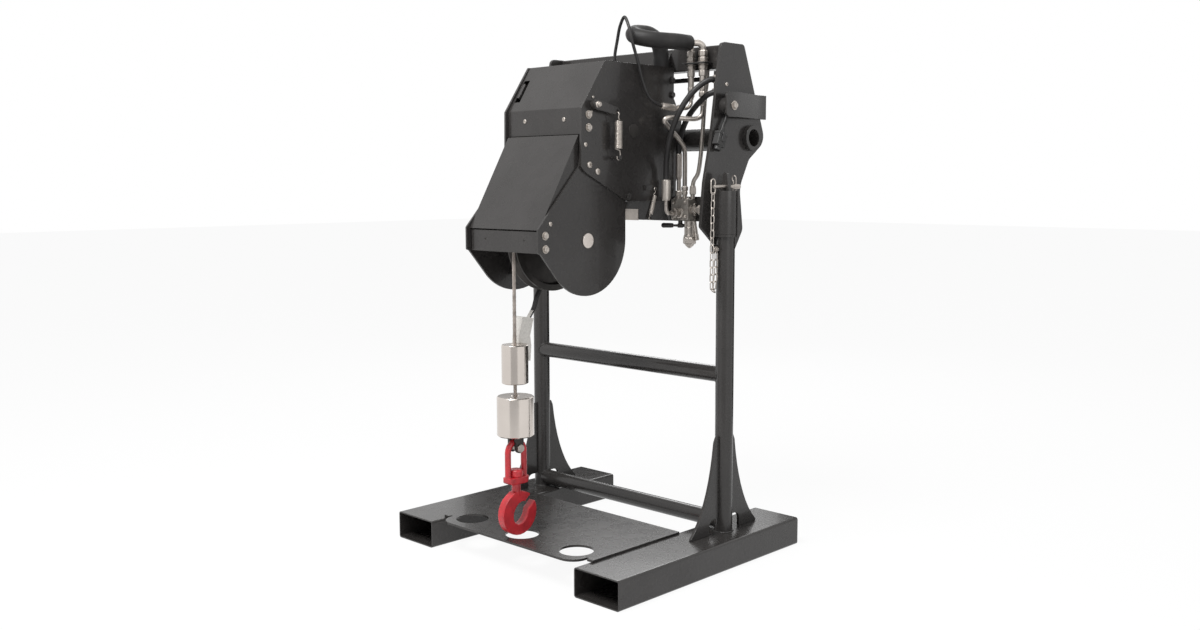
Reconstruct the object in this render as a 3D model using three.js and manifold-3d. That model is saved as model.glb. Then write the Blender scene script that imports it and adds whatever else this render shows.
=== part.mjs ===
import * as THREE from 'three';
import { mergeVertices } from 'three/addons/utils/BufferGeometryUtils.js';
import Module from 'manifold-3d';

// Hydraulic winch for a telescopic handler, parked on its storage stand.
// Millimetres, +Z up, +X to the right seen from the hook side, -Y towards the hook side.
// The origin is the centre of the ground under the stand.

const wasm = await Module();
wasm.setup();

// Shared clearances
const seatGap = 0.3;
const runGap = 0.4;
const overrun = 15;
const sink = 2;
const weldReach = 1e-3;

// Faces round a circle, and steps along a tube
const bigSides = 32;
const midSides = 20;
const smallSides = 10;
const hoseSides = 8;
const linkSides = 4;
const linkSteps = 8;
const wireSides = 6;

// Stand
const stand = { postX: 468.3, postY: 164.6, postRadius: 31.75, postWall: 4 };
const skid = { width: 200, height: 100, wall: 5, corner: 9, halfLength: 480 };
const floorPlate = {
  halfWidth: 384, thickness: 8, rear: 25, sideFront: -410, lobeHalf: 348, lobeFront: -463,
  lobeCorner: 58, notchWidth: 10, notchDepth: 12, holeRadius: 59, holePitch: 270, holeY: -370,
};
const crossbar = { radius: 29, wall: 4, lowerZ: 136, upperZ: 659 };
const gusset = {
  reach: 183, thickness: 10, height: 342, topWidth: 55, tipHeight: 6, topFillet: 9, bendShare: 0.3,
  archWidth: 52, archHeight: 53, archFillet: 25, bend: 14,
};
const postHead = { collarRadius: 39, collarHeight: 9, plugLength: 20, top: 1290 };
const tab = { width: 34, thickness: 15, topRadius: 9, top: 1362, leanShare: 0.048 };
const lockPin = {
  radius: 6, z: 1313, front: 96, rear: 237, collarRadius: 8.5, collarLength: 37,
  clipInset: 18, clipHole: 2.6, linkInset: 8, linkHole: 3.4, nose: 1.5, noseLength: 2, shoulder: 4,
};
const clip = { wire: 1.8, loop: 18, height: 38 };
// Places along the clip: share of its loop width, and of its height
const clipShares = [
  [0, -0.3684], [0, 0], [0, 0.7105], [-0.15, 0.9421], [-0.5, 1], [-0.9, 0.8553], [-0.85, 0.6316],
  [-0.6056, 0.4474], [-0.6056, 0], [-0.6611, -0.2368], [-0.7722, -0.3684],
];

// Carriage that the telescopic handler picks up
const carriage = {
  outer: 429, thickness: 12, low: 1082, top: 1808, sleeveRadius: 39.6, sleeveBore: 33, sleeveLow: 1150,
  sleeveHigh: 1299, pinY: 349, pinZ: 1484, tubeRadius: 42, tubeBore: 30, bossRadius: 45, bossOut: 18,
};
// Corners of a carriage plate: share of the way from the post to the pin, share of the height, and its fillet
const cheekShares = [
  [0.0998, 1, 0.0303], [-0.1931, 0.5317, 0.0826], [-0.3774, 0.3388, 0.0826], [-0.4696, 0.1281, 0.0165],
  [-0.0466, 0.0413, 0.0207], [0.5282, 0, 0.0275], [0.7993, 0.1074, 0.0413], [0.6909, 0.314, 0.124],
  [0.9783, 0.449, 0.0551], [1.4881, 0.5413, 0.0661], [0.7885, 1, 0.022],
];
const topBeam = { front: 240, depth: 60, low: 1724, height: 82, wall: 5 };
const lowBeam = { front: 271, depth: 24, low: 1186, height: 90 };
const tieRod = { radius: 9, y: 285, z: 1697 };

// Winch box, rope head and covers
const box = {
  half: 194, plate: 9, shell: 6, low: 1262, top: 1737, rear: 207, inset: 3, heel: 40, corner: 6,
  rearCorner: 4, lip: 14, shellCorner: 8, innerCorner: 3, floorFront: 19,
};
const rib = { thickness: 12, placeShare: 0.75, waist: 49, waistCorner: 20, foot: 30 };
const ribShares = [0.2, 0.8484, 0.9839, 0.7645, 0.6032, 0.3452, 0.2323, 0.0065];
const head = {
  plate: 8, pinY: -227, pinZ: 1132.5, radius: 188, lap: 46, rear: -39, toeRise: 3, lapFront: 10, lapRear: 8,
  drop: 6,
};
const nose = {
  frontY: -453.6, lowZ: 1092.8, height: 83.2, bandRise: 3.2, bandDrop: 8, corner: 7, flange: 36,
};
const cover = {
  sheet: 4, recess: 12, lap: 2, bend: 6, innerBend: 3, window: 28, windowInset: 7, windowLow: 1610,
  windowHigh: 1688,
};
const shoulder = { topY: -150, kneeY: -262, kneeZ: 1575, toeY: -265, toeZ: 1380, cutDepth: 20, cutDrop: 18 };
const noseFace = {
  highY: -260, highZ: 1487, lowY: -441, lowZ: 1173, skirt: 4, heelZ: 1372, heelY: -245, bend: 5, innerBend: 2,
  skirtInset: 0.5, skirtRise: 1, skirtFront: 20,
};

// Winch inside the box
const drum = {
  y: -6, z: 1506, coreRadius: 96, flangeRadius: 150, flange: 10, left: -120, right: 150,
  hub: 36, plug: 1,
};
const ropeSize = { radius: 6.5, sides: 8, fallY: -396, end: 545 };
const winding = { layers: 2, groove: 1.6 };
const motor = { flangeRadius: 88, flange: 14, bodyRadius: 62, shaftRadius: 24.6 };
const sheave = {
  rim: 180, width: 46, pitch: 169, web: 14, hub: 60, hubWidth: 52, lip: 9, bore: 26, seatShare: 0.8,
  flareShare: 2.4,
};
const sheavePin = { radius: 25.5, collar: 36, cap: 4 };

// Load line
const limitWeight = { radius: 46, low: 644, height: 134, chamfer: 3 };
const hookWeight = { radius: 64, low: 462, height: 138, chamfer: 4, boreEnd: 500 };
const ropeBore = 7.4;
const clevis = { disc: 24, discHeight: 4.7, ear: 10, earGap: 12.5, earHalf: 17 };
const clevisPin = { radius: 10, z: 419.7, half: 30, head: 16, headLength: 7 };
const bail = {
  bar: 11, halfSpan: 36.5, base: 24, baseLow: 294, baseDepth: 44, edge: 9, corner: 3, planCorner: 14,
  slopeShare: 1.6, cheekShare: 0.6,
};
const hookShape = {
  thickness: 30, radius: 77, centreZ: 189, eyeHalfWidth: 32, eyeHalfHeight: 42, eyeLean: 28, eyeShift: 5,
  offset: 4.6, throat: 34, throatAngle: 40, neckWidth: 50, shank: 16, headRadius: 25, headHeight: 26,
  neckTop: 266, neckCorner: 8, shankRoot: 12, headEdge: 5,
};
// Corners of the hook's neck: share of its width, and of the hook's radius for the two low ones
const neckShares = { rear: 0.9, rearLow: 0.55, front: 0.75, frontLow: 0.6, top: 0.42 };

// Spring lever on the right side of the box
const lever = {
  pivotY: -209, pivotZ: 1587, tipY: -115, tipZ: 1568, out: 17, plate: 8, hub: 14, pin: 8, pinOut: 10,
  halfHub: 17, halfTip: 13, hole: 7,
};
const spring = {
  out: 30, coil: 11, wire: 2.2, curlCount: 14, top: 1534, low: 1441, anchorZ: 1412, anchor: 5, rise: 12,
  bend: 5, dip: 4,
};
const guideSpring = {
  out: 11, coil: 4.6, wire: 1.3, curlCount: 12, topY: 96, topZ: 1292, lowY: 67, lowZ: 1204, eye: 12,
};
const springStud = { radius: 4, out: 16, topRise: 12, lowDrop: 2 };
const springLug = { front: 48, rear: 5, low: 8, high: 26 };
const springTongue = { front: 6, rear: 7, low: 8, lift: 8, topRear: 20, topFront: 2, corner: 4 };

// Hydraulics between the box and the right carriage plate
const bulkhead = {
  z: 1742, plate: 6, out: 51, width: 100, front: 190, lineY: 215, firstInset: 22, pitch: 54, gapShare: 1.2,
};
const stack = {
  nut: 15, nutHeight: 13, stem: 11, low: 1620, waist: 9, elbow: 10, foot: 6, ringLow: 30, ringHigh: 16,
  ringStep: 2,
};
// The elbows above the bulkhead: share of the way across, of the way forward and of the rise
const elbowShares = [[0, 0, 0], [0, 0, 0.48], [0, 0.093, 0.8], [0.3333, 0.3721, 0.98], [1, 0.814, 1]];
const sleeveHose = { radius: 28, endX: 290, endY: 172, endZ: 1813 };
const block = {
  inset: 26, width: 80, front: 225, low: 1190, height: 77, portInset: 38, portZ: 1217, sideY: 248,
  sideZ: 1229, port: 15, portLength: 35, sidePort: 15, sideLength: 48, plug: 8, plugOut: 7, plugY: 236,
  plugPitch: 38,
};
// Profiles of the two ports: share of the radius, and of the length
const portShares = [
  [0, 0], [0.8, 0], [0.8, 0.3429], [1, 0.3429], [1, 0.8571], [0.6667, 0.8571], [0.6667, 1], [0, 1],
];
const sidePortShares = [
  [0, 0], [0.6, 0], [0.6, 0.1667], [0.8667, 0.1667], [0.8667, 0.4583], [0.6667, 0.4583], [0.6667, 0.6667],
  [1, 0.6667], [1, 1], [0, 1],
];
const cartridge = {
  inset: 70, y: 246, radius: 19, hex: 24, step: 1130, hexLow: 1106, tip: 1089, point: 6, sideOut: 26,
  sideLean: 14, sideBack: 10, sideDrop: 10, side: 8,
};
const drain = {
  inset: 31, y: 240, stub: 8, top: 1178, plate: 14, reach: 62, ball: 9, turn: 204, half: 11, corner: 5,
  tip: 5, tipCorner: 3,
};
const coupler = {
  y: 212, plate: 6, width: 44.7, low: 1612, height: 102, hoseInset: 21.7, highZ: 1683, lowZ: 1639, body: 14,
  neck: 11, bodyLength: 24, length: 42, ferrule: 26, lead: 18,
};
const hose = {
  radius: 10, ferrule: 13, ferruleLength: 74, tuck: 4, lead: 16, elbowShare: 0.75, adapterShare: 2.2,
};
// Profile of the long adapter under the return hose: share of the ferrule's radius, and of the length
const adapterShares = [
  [0, 0], [0.7692, 0], [0.7692, 0.0737], [1, 0.0737], [1, 0.1843], [0.6154, 0.1843], [0.6154, 0.4545],
  [1, 0.4545], [1, 1], [0, 1],
];
const thin = { radius: 5.5, link: 6.5, ferrule: 10, overlapShare: 0.2 };
const pipe = {
  radius: 8, nut: 12, nutHeight: 14, frontInset: 52, frontY: 239, rearInset: 75, rearY: 257, thinShare: 0.8,
  coneShare: 2.4,
};

// Places that follow the sizes above, to the right of the centre
const springX = box.half + spring.out;
const guideX = box.half + guideSpring.out;
const leverX = box.half + lever.out;
const blockLeft = box.half - block.inset;
const unionX = box.half + bulkhead.out + bulkhead.firstInset;
const couplerRight = carriage.outer - carriage.thickness - seatGap;
const couplerX = couplerRight - coupler.hoseInset;

// Clamp bracket, cable plug and chain on the right side
const clampBracket = {
  tabX: 475, sheet: 8, frontY: 157, bendY: 235, footY: 384, rearY: 432, low: 1551, high: 1636,
  corner: 15, spacer: 28, spacerY: 197, spacerZ: 1590, bendGain: 2,
};
const plug = {
  y: 160, z: 1475, depth: 26, width: 42, height: 50, lean: 22, cable: 5.5, cap: 13, capHeight: 16,
  rootShare: 0.4,
};
const chain = {
  wire: 2.2, bend: 6.5, straight: 7.6, bite: 0.8, longBend: 11, longStraight: 15, longWire: 2.6, play: 1,
};
const chainLug = {
  x: 445, thickness: 8, frontY: 116, low: 1084, high: 1114, bolt: 4, boltZ: 1099, boltEnd: 474,
};
const limitSwitch = { width: 56.4, frontY: -262, rearY: -205, low: 1002, high: 1056, bar: 5, leverX: -36 };
const strap = { width: 17, thickness: 4, rim: 4.5, lift: 14, endGap: 3, tuck: 24, inset: 30 };
const wedge = { width: 34, overlap: 5, depth: 71, height: 157, drop: 65 };
// Corners of the wedge from the side of the upper weight: share of its depth and of its height
const wedgeShares = [
  [-0.0282, 1, 0.0127], [0.6901, 0.9363, 0.0191], [0.4507, 0.5541], [0.5211, 0.3376, 0.0255],
  [0.4648, 0], [0.3239, 0], [0.3239, 0.3248, 0.0191], [-0.3099, 0.3885, 0.0191], [-0.2676, 0.5924],
];
// The strap from the wedge to its eye: share of the way back, and of the rise
const strapShares = [
  [0, 0], [0.2384, 0.152], [0.4901, 0.3248], [0.649, 0.5598], [0.8742, 0.7602],
];

const latch = {
  width: 13, length: 62, thickness: 10, inset: 29, armBack: 2, armFront: 3, armHalf: 4, proud: 1,
};

// Colours and finishes
const finish = {
  paint: { color: 0x3a3837, metalness: 0.35, roughness: 0.38 },
  steel: { color: 0xc8c3be, metalness: 0.9, roughness: 0.32 },
  zinc: { color: 0xb9b4ad, metalness: 0.85, roughness: 0.36 },
  dark: { color: 0x2b2a2a, metalness: 0.6, roughness: 0.5 },
  rubber: { color: 0x1f1e1e, metalness: 0.0, roughness: 0.75 },
  red: { color: 0xb9272f, metalness: 0.1, roughness: 0.42 },
  rope: { color: 0xbeb4ac, metalness: 0.7, roughness: 0.5 },
};
const materials = {};
for (const [name, values] of Object.entries(finish)) {
  materials[name] = new THREE.MeshStandardMaterial({ name, ...values });
}

const axisX = new THREE.Vector3(1, 0, 0);
// No swept wire starts along this direction
const leaning = new THREE.Vector3(1, 0, 0.3);
const axisY = new THREE.Vector3(0, 1, 0);
const axisZ = new THREE.Vector3(0, 0, 1);
const winch = new THREE.Group();

// Boolean work
function solidOf(geometry) {
  const bare = geometry.clone();
  bare.deleteAttribute('normal');
  bare.deleteAttribute('uv');
  const merged = mergeVertices(bare, weldReach);
  const corners = merged.attributes.position.array;
  const index = merged.index.array;
  const faces = [];
  let volume = 0;
  const a = new THREE.Vector3();
  const b = new THREE.Vector3();
  const c = new THREE.Vector3();
  for (let i = 0; i < index.length; i += 3) {
    const [p, q, r] = [index[i], index[i + 1], index[i + 2]];
    if (p === q || q === r || r === p) continue;
    a.fromArray(corners, 3 * p);
    b.fromArray(corners, 3 * q);
    c.fromArray(corners, 3 * r);
    volume += a.dot(b.cross(c));
    faces.push(p, q, r);
  }
  if (volume < 0) {
    for (let i = 0; i < faces.length; i += 3) [faces[i + 1], faces[i + 2]] = [faces[i + 2], faces[i + 1]];
  }
  const mesh = new wasm.Mesh({
    numProp: 3,
    vertProperties: Float32Array.from(corners),
    triVerts: Uint32Array.from(faces),
  });
  mesh.merge();
  return new wasm.Manifold(mesh);
}

function geometryOf(solid) {
  const mesh = solid.getMesh();
  const geometry = new THREE.BufferGeometry();
  geometry.setAttribute('position', new THREE.BufferAttribute(Float32Array.from(mesh.vertProperties), 3));
  geometry.setIndex(new THREE.BufferAttribute(Uint32Array.from(mesh.triVerts), 1));
  return geometry;
}

function cut(base, ...tools) {
  let solid = solidOf(base);
  for (const tool of tools) solid = solid.subtract(solidOf(tool));
  return geometryOf(solid);
}

function join(...pieces) {
  let solid = solidOf(pieces[0]);
  for (const piece of pieces.slice(1)) solid = solid.add(solidOf(piece));
  return geometryOf(solid);
}

function common(first, second) {
  return geometryOf(solidOf(first).intersect(solidOf(second)));
}

// Adds one named piece to the winch
function add(name, geometry, materialName) {
  const mesh = new THREE.Mesh(geometryOf(solidOf(geometry)), materials[materialName]);
  mesh.name = name;
  winch.add(mesh);
  return mesh;
}

// Outlines: corners are [u, v] or [u, v, fillet radius]
function filleted(corners, stepsPerFillet = 6) {
  const points = [];
  const count = corners.length;
  for (let i = 0; i < count; i += 1) {
    const [u, v, radius = 0] = corners[i];
    const here = new THREE.Vector2(u, v);
    if (radius === 0) {
      points.push(here);
      continue;
    }
    const before = new THREE.Vector2(...corners[(i + count - 1) % count].slice(0, 2)).sub(here).normalize();
    const after = new THREE.Vector2(...corners[(i + 1) % count].slice(0, 2)).sub(here).normalize();
    const half = Math.acos(THREE.MathUtils.clamp(before.dot(after), -1, 1)) / 2;
    const back = radius / Math.tan(half);
    const centre = before.clone().add(after).normalize().multiplyScalar(radius / Math.sin(half)).add(here);
    const from = before.multiplyScalar(back).add(here).sub(centre);
    const to = after.multiplyScalar(back).add(here).sub(centre);
    const start = from.angle();
    let sweep = to.angle() - start;
    if (sweep > Math.PI) sweep -= 2 * Math.PI;
    if (sweep < -Math.PI) sweep += 2 * Math.PI;
    points.push(...arc(centre.x, centre.y, radius, start, start + sweep, stepsPerFillet));
  }
  return points;
}

function arc(u, v, radius, from, to, steps) {
  const points = [];
  for (let i = 0; i <= steps; i += 1) {
    const angle = from + (to - from) * (i / steps);
    points.push(new THREE.Vector2(u + radius * Math.cos(angle), v + radius * Math.sin(angle)));
  }
  return points;
}

function circle(u, v, radius, sides) {
  return arc(u, v, radius, 0, 2 * Math.PI, sides).slice(0, -1);
}

// Corners whose places are shares of a box, with fillets as shares of its height
function cornersOf(shares, u, v, width, height) {
  return shares.map(([a, b, fillet = 0]) => [u + a * width, v + b * height, fillet * height]);
}

function rectangle(u0, v0, u1, v1, radius = 0) {
  return filleted([[u0, v0, radius], [u1, v0, radius], [u1, v1, radius], [u0, v1, radius]]);
}

// Extrusions: a sideways plate stands in the YZ plane, an upright one in XZ and a flat one in XY
function extrude(points, depth, holes = []) {
  const slab = new THREE.ExtrudeGeometry(new THREE.Shape(points), { depth, bevelEnabled: false });
  if (holes.length === 0) return slab;
  const drills = holes.map((hole) => (
    new THREE.ExtrudeGeometry(new THREE.Shape(hole), { depth: depth + 2 * overrun, bevelEnabled: false })
      .translate(0, 0, -overrun)
  ));
  return cut(slab, ...drills);
}

function sideways(points, fromX, depth, holes = []) {
  const turn = new THREE.Matrix4().makeBasis(axisY, axisZ, axisX);
  return extrude(points, depth, holes).applyMatrix4(turn).translate(fromX, 0, 0);
}

function upright(points, fromY, depth, holes = []) {
  const turn = new THREE.Matrix4().makeBasis(axisX, axisZ, axisY.clone().negate());
  return extrude(points, depth, holes).applyMatrix4(turn).translate(0, fromY + depth, 0);
}

function flat(points, fromZ, depth, holes = []) {
  return extrude(points, depth, holes).translate(0, 0, fromZ);
}

function brick(x0, x1, y0, y1, z0, z1) {
  return new THREE.BoxGeometry(x1 - x0, y1 - y0, z1 - z0)
    .translate((x0 + x1) / 2, (y0 + y1) / 2, (z0 + z1) / 2);
}

// Round pieces
function point(x, y, z) {
  return new THREE.Vector3(x, y, z);
}

function rod(from, to, radius, sides = smallSides) {
  const along = to.clone().sub(from);
  const turn = new THREE.Quaternion().setFromUnitVectors(axisY, along.clone().normalize());
  const middle = from.clone().add(to).multiplyScalar(0.5);
  return new THREE.CylinderGeometry(radius, radius, along.length(), sides)
    .applyQuaternion(turn)
    .translate(middle.x, middle.y, middle.z);
}

// The profile is a list of [radius, distance along the axis] from the base point
function turned(profile, base, direction, sides = midSides) {
  const points = profile.map(([radius, along]) => new THREE.Vector2(radius, along));
  const turn = new THREE.Quaternion().setFromUnitVectors(axisY, direction);
  return new THREE.LatheGeometry(points, sides).applyQuaternion(turn).translate(base.x, base.y, base.z);
}

function tube(points, radius, sides, steps) {
  const path = new THREE.CatmullRomCurve3(points, false, 'centripetal');
  const shape = new THREE.Shape(circle(0, 0, radius, sides));
  return new THREE.ExtrudeGeometry(shape, { steps, extrudePath: path, bevelEnabled: false });
}

// Sweeps a round section through the points themselves, with a frame that never twists
function sweep(points, radius, sides = 5) {
  const rings = [];
  let side = null;
  points.forEach((here, i) => {
    const before = points[Math.max(i - 1, 0)];
    const after = points[Math.min(i + 1, points.length - 1)];
    const along = after.clone().sub(before).normalize();
    if (side === null) side = new THREE.Vector3().crossVectors(along, leaning);
    side.addScaledVector(along, -side.dot(along)).normalize();
    const up = new THREE.Vector3().crossVectors(along, side);
    rings.push(Array.from({ length: sides }, (_, k) => {
      const turn = (2 * Math.PI * k) / sides;
      return here.clone()
        .addScaledVector(side, radius * Math.cos(turn))
        .addScaledVector(up, radius * Math.sin(turn));
    }));
  });
  const corners = rings.flat().flatMap((p) => [p.x, p.y, p.z]);
  const faces = [];
  for (let i = 0; i + 1 < rings.length; i += 1) {
    for (let k = 0; k < sides; k += 1) {
      const a = i * sides + k;
      const b = i * sides + ((k + 1) % sides);
      faces.push(a, b, b + sides, a, b + sides, a + sides);
    }
  }
  const last = (rings.length - 1) * sides;
  for (let k = 1; k + 1 < sides; k += 1) {
    faces.push(0, k + 1, k, last, last + k, last + k + 1);
  }
  const geometry = new THREE.BufferGeometry();
  geometry.setAttribute('position', new THREE.Float32BufferAttribute(corners, 3));
  geometry.setIndex(faces);
  return geometry;
}

function mirrored(geometry) {
  return geometry.clone().scale(-1, 1, 1);
}

// Adds a right-hand piece and its mirror image
function addPair(name, geometry, materialName) {
  add(`${name}_right`, geometry, materialName);
  add(`${name}_left`, mirrored(geometry), materialName);
}

// Skids, floor plate, posts and crossbars of the stand
function buildSkids() {
  const inner = stand.postX - skid.width / 2;
  const outer = stand.postX + skid.width / 2;
  const wall = skid.wall;
  const skin = rectangle(inner, 0, outer, skid.height, skid.corner);
  const bore = rectangle(inner + wall, wall, outer - wall, skid.height - wall, skid.corner - wall);
  addPair('base_tube', upright(skin, -skid.halfLength, 2 * skid.halfLength, [bore]), 'paint');
}

function buildFloorPlate() {
  const p = floorPlate;
  const notchX = p.lobeHalf + p.notchWidth;
  const notchY = p.sideFront + p.notchDepth;
  const rightSide = [
    [p.halfWidth, p.rear], [p.halfWidth, p.sideFront], [notchX, p.sideFront], [notchX, notchY],
    [p.lobeHalf, notchY], [p.lobeHalf, p.lobeFront, p.lobeCorner],
  ];
  const leftSide = rightSide.map(([x, ...rest]) => [-x, ...rest]).reverse();
  const outline = filleted([...rightSide, ...leftSide], 8).reverse();
  const holes = [-1, 0, 1].map((step) => circle(step * p.holePitch, p.holeY, p.holeRadius, bigSides));
  add('base_plate', flat(outline, skid.height + seatGap, p.thickness, holes), 'paint');
}

function buildPosts() {
  const low = skid.height + seatGap;
  const bore = stand.postRadius - stand.postWall;
  const collarTop = carriage.sleeveLow - seatGap;
  const collarLow = collarTop - postHead.collarHeight;
  const plug = postHead.top - postHead.plugLength;
  const profile = [
    [0, plug], [bore, plug], [bore, low], [stand.postRadius, low], [stand.postRadius, collarLow],
    [postHead.collarRadius, collarLow], [postHead.collarRadius, collarTop], [stand.postRadius, collarTop],
    [stand.postRadius, postHead.top], [0, postHead.top],
  ];
  const post = turned(profile, point(stand.postX, stand.postY, 0), axisZ, midSides);
  const half = tab.width / 2;
  const lean = tab.leanShare * Math.PI;
  const crown = arc(stand.postX, tab.top - tab.topRadius, tab.topRadius, lean, Math.PI - lean, 8);
  const outline = [
    new THREE.Vector2(stand.postX - half, postHead.top - postHead.plugLength / 2),
    new THREE.Vector2(stand.postX + half, postHead.top - postHead.plugLength / 2),
    new THREE.Vector2(stand.postX + half, carriage.sleeveHigh),
    ...crown,
    new THREE.Vector2(stand.postX - half, carriage.sleeveHigh),
  ];
  const pinHole = circle(stand.postX, lockPin.z, lockPin.radius + runGap, smallSides);
  const ear = upright(outline, stand.postY - tab.thickness / 2, tab.thickness, [pinHole]);
  const lug = chainLugShape();
  add('post_right', join(post, ear, lug), 'paint');
  add('post_left', mirrored(join(post, ear, lug)), 'paint');
}

function chainLugShape() {
  const lug = chainLug;
  const into = stand.postY - stand.postRadius / 2;
  const plate = brick(lug.x, lug.x + lug.thickness, lug.frontY, into, lug.low, lug.high);
  const boltY = lug.frontY + lug.bolt * 2;
  const start = point(lug.x - lug.bolt, boltY, lug.boltZ);
  const bolt = rod(start, point(lug.boltEnd, boltY, lug.boltZ), lug.bolt, smallSides);
  return join(plate, bolt);
}

function buildCrossbars() {
  const reach = stand.postX;
  const postCut = stand.postRadius + seatGap;
  const bars = { lower_crossbar: crossbar.lowerZ, upper_crossbar: crossbar.upperZ };
  for (const [name, z] of Object.entries(bars)) {
    const skin = circle(stand.postY, z, crossbar.radius, midSides);
    const bore = circle(stand.postY, z, crossbar.radius - crossbar.wall, midSides);
    const bar = sideways(skin, -reach, 2 * reach, [bore]);
    const copes = [-1, 1].map((side) => {
      const x = side * stand.postX;
      return rod(
        point(x, stand.postY, z - 2 * crossbar.radius), point(x, stand.postY, z + 2 * crossbar.radius),
        postCut, midSides,
      );
    });
    add(name, cut(bar, ...copes), 'paint');
  }
}

function gussetOutline() {
  const g = gusset;
  const low = skid.height + seatGap;
  const face = stand.postRadius + seatGap;
  const tip = new THREE.Vector2(g.reach, low + g.tipHeight);
  const shoulderPoint = new THREE.Vector2(g.topWidth, low + g.height - 2 * g.topFillet);
  const bendPoint = new THREE.Vector2(g.topWidth + 2 * g.bend, low + g.height * g.bendShare);
  const curve = new THREE.QuadraticBezierCurve(shoulderPoint, bendPoint, tip).getPoints(9);
  const arch = filleted([
    [face + g.archWidth, low], [face + g.archWidth, low + g.archHeight, g.archFillet],
    [face, low + g.archHeight],
  ]);
  const high = low + g.height;
  const top = [new THREE.Vector2(face, high), new THREE.Vector2(g.topWidth - g.topFillet, high)];
  return [...arch, ...top, ...curve, new THREE.Vector2(g.reach, low)];
}

function buildGussets() {
  const outline = gussetOutline();
  const places = { front: -1, rear: 1 };
  for (const [name, side] of Object.entries(places)) {
    const points = outline.map(({ x, y }) => new THREE.Vector2(stand.postY + side * x, y));
    const plate = sideways(points, stand.postX - gusset.thickness / 2, gusset.thickness);
    addPair(`gusset_${name}`, plate, 'paint');
  }
}

// Carriage: two cheek plates with the sleeves that stand on the posts, and the beams between them
function buildCarriagePlates() {
  const c = carriage;
  const outline = filleted(cornersOf(cheekShares, stand.postY, c.low, c.pinY - stand.postY, c.top - c.low));
  const hole = circle(c.pinY, c.pinZ, c.tubeRadius + seatGap, bigSides);
  const plate = sideways(outline, c.outer - c.thickness, c.thickness, [hole]);
  const sleeveHeight = c.sleeveHigh - c.sleeveLow;
  const sleeveRing = [
    [c.sleeveBore, 0], [c.sleeveRadius, 0], [c.sleeveRadius, sleeveHeight], [c.sleeveBore, sleeveHeight],
    [c.sleeveBore, 0],
  ];
  const sleeve = turned(sleeveRing, point(stand.postX, stand.postY, c.sleeveLow), axisZ, midSides);
  addPair('carriage_plate', join(plate, sleeve), 'paint');
}

function buildBeams() {
  const c = carriage;
  const reach = c.outer - c.thickness - seatGap;
  const end = c.outer + c.bossOut;
  const face = c.outer + seatGap;
  const ring = [
    [c.tubeBore, -end], [c.bossRadius, -end], [c.bossRadius, -face], [c.tubeRadius, -face],
    [c.tubeRadius, face], [c.bossRadius, face], [c.bossRadius, end], [c.tubeBore, end], [c.tubeBore, -end],
  ];
  add('cross_tube', turned(ring, point(0, c.pinY, c.pinZ), axisX, bigSides), 'paint');
  const b = topBeam;
  const skin = rectangle(b.front, b.low, b.front + b.depth, b.low + b.height, b.wall);
  const bore = rectangle(
    b.front + b.wall, b.low + b.wall, b.front + b.depth - b.wall, b.low + b.height - b.wall,
  );
  add('top_beam', sideways(skin, -reach, 2 * reach, [bore]), 'paint');
  const l = lowBeam;
  add('lower_beam', brick(-reach, reach, l.front, l.front + l.depth, l.low, l.low + l.height), 'paint');
  const rodEnd = point(reach, tieRod.y, tieRod.z);
  add('tie_rod', rod(rodEnd.clone().setX(-reach), rodEnd, tieRod.radius), 'dark');
}

// Winch box: cheek plates, folded shell with the ribs that carry it, and the covers
function drumPlateOutline() {
  const s = shoulder;
  return filleted([
    [s.topY, box.top], [s.kneeY, s.kneeZ, box.corner], [s.toeY, s.toeZ, box.corner],
    [s.toeY + s.cutDepth, s.toeZ - s.cutDrop, box.corner], [head.rear, box.low, box.corner],
    [box.rear, box.low, box.heel], [box.rear, box.top, box.rearCorner],
  ]);
}

function buildDrumPlates() {
  const inner = box.half - box.plate;
  const hub = circle(drum.y, drum.z, motor.shaftRadius + runGap, midSides);
  const plate = sideways(drumPlateOutline(), inner, box.plate, [hub]);
  const anchor = rod(
    point(inner, lever.tipY, spring.anchorZ), point(springX + 3 * spring.wire, lever.tipY, spring.anchorZ),
    spring.anchor,
  );
  const anchorHead = rod(
    point(springX + 3 * spring.wire, lever.tipY, spring.anchorZ),
    point(springX + 4 * spring.wire, lever.tipY, spring.anchorZ), 1.5 * spring.anchor,
  );
  const g = guideSpring;
  const lugDepth = 3 * springStud.radius;
  const l = springLug;
  const lug = brick(
    inner, box.half + lugDepth / 2, g.topY - l.front, g.topY + l.rear, g.topZ + l.low, g.topZ + l.high,
  );
  const t = springTongue;
  const tongue = sideways(filleted([
    [g.lowY - t.front, g.lowZ - t.low, t.corner], [g.lowY + t.rear, g.lowZ - t.low, t.corner],
    [g.topY + t.topRear, box.low + t.lift], [g.topY - t.topFront, box.low + t.lift],
  ], 3), inner, box.plate);
  const studPlaces = [[g.topY, g.topZ + springStud.topRise], [g.lowY, g.lowZ - springStud.lowDrop]];
  const studs = studPlaces.map(([y, z]) => (
    rod(point(inner, y, z), point(box.half + springStud.out, y, z), springStud.radius)
  ));
  add('drum_plate_right', join(plate, anchor, anchorHead, lug, tongue, ...studs), 'paint');
  add('drum_plate_left', mirrored(plate), 'paint');
}

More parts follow.
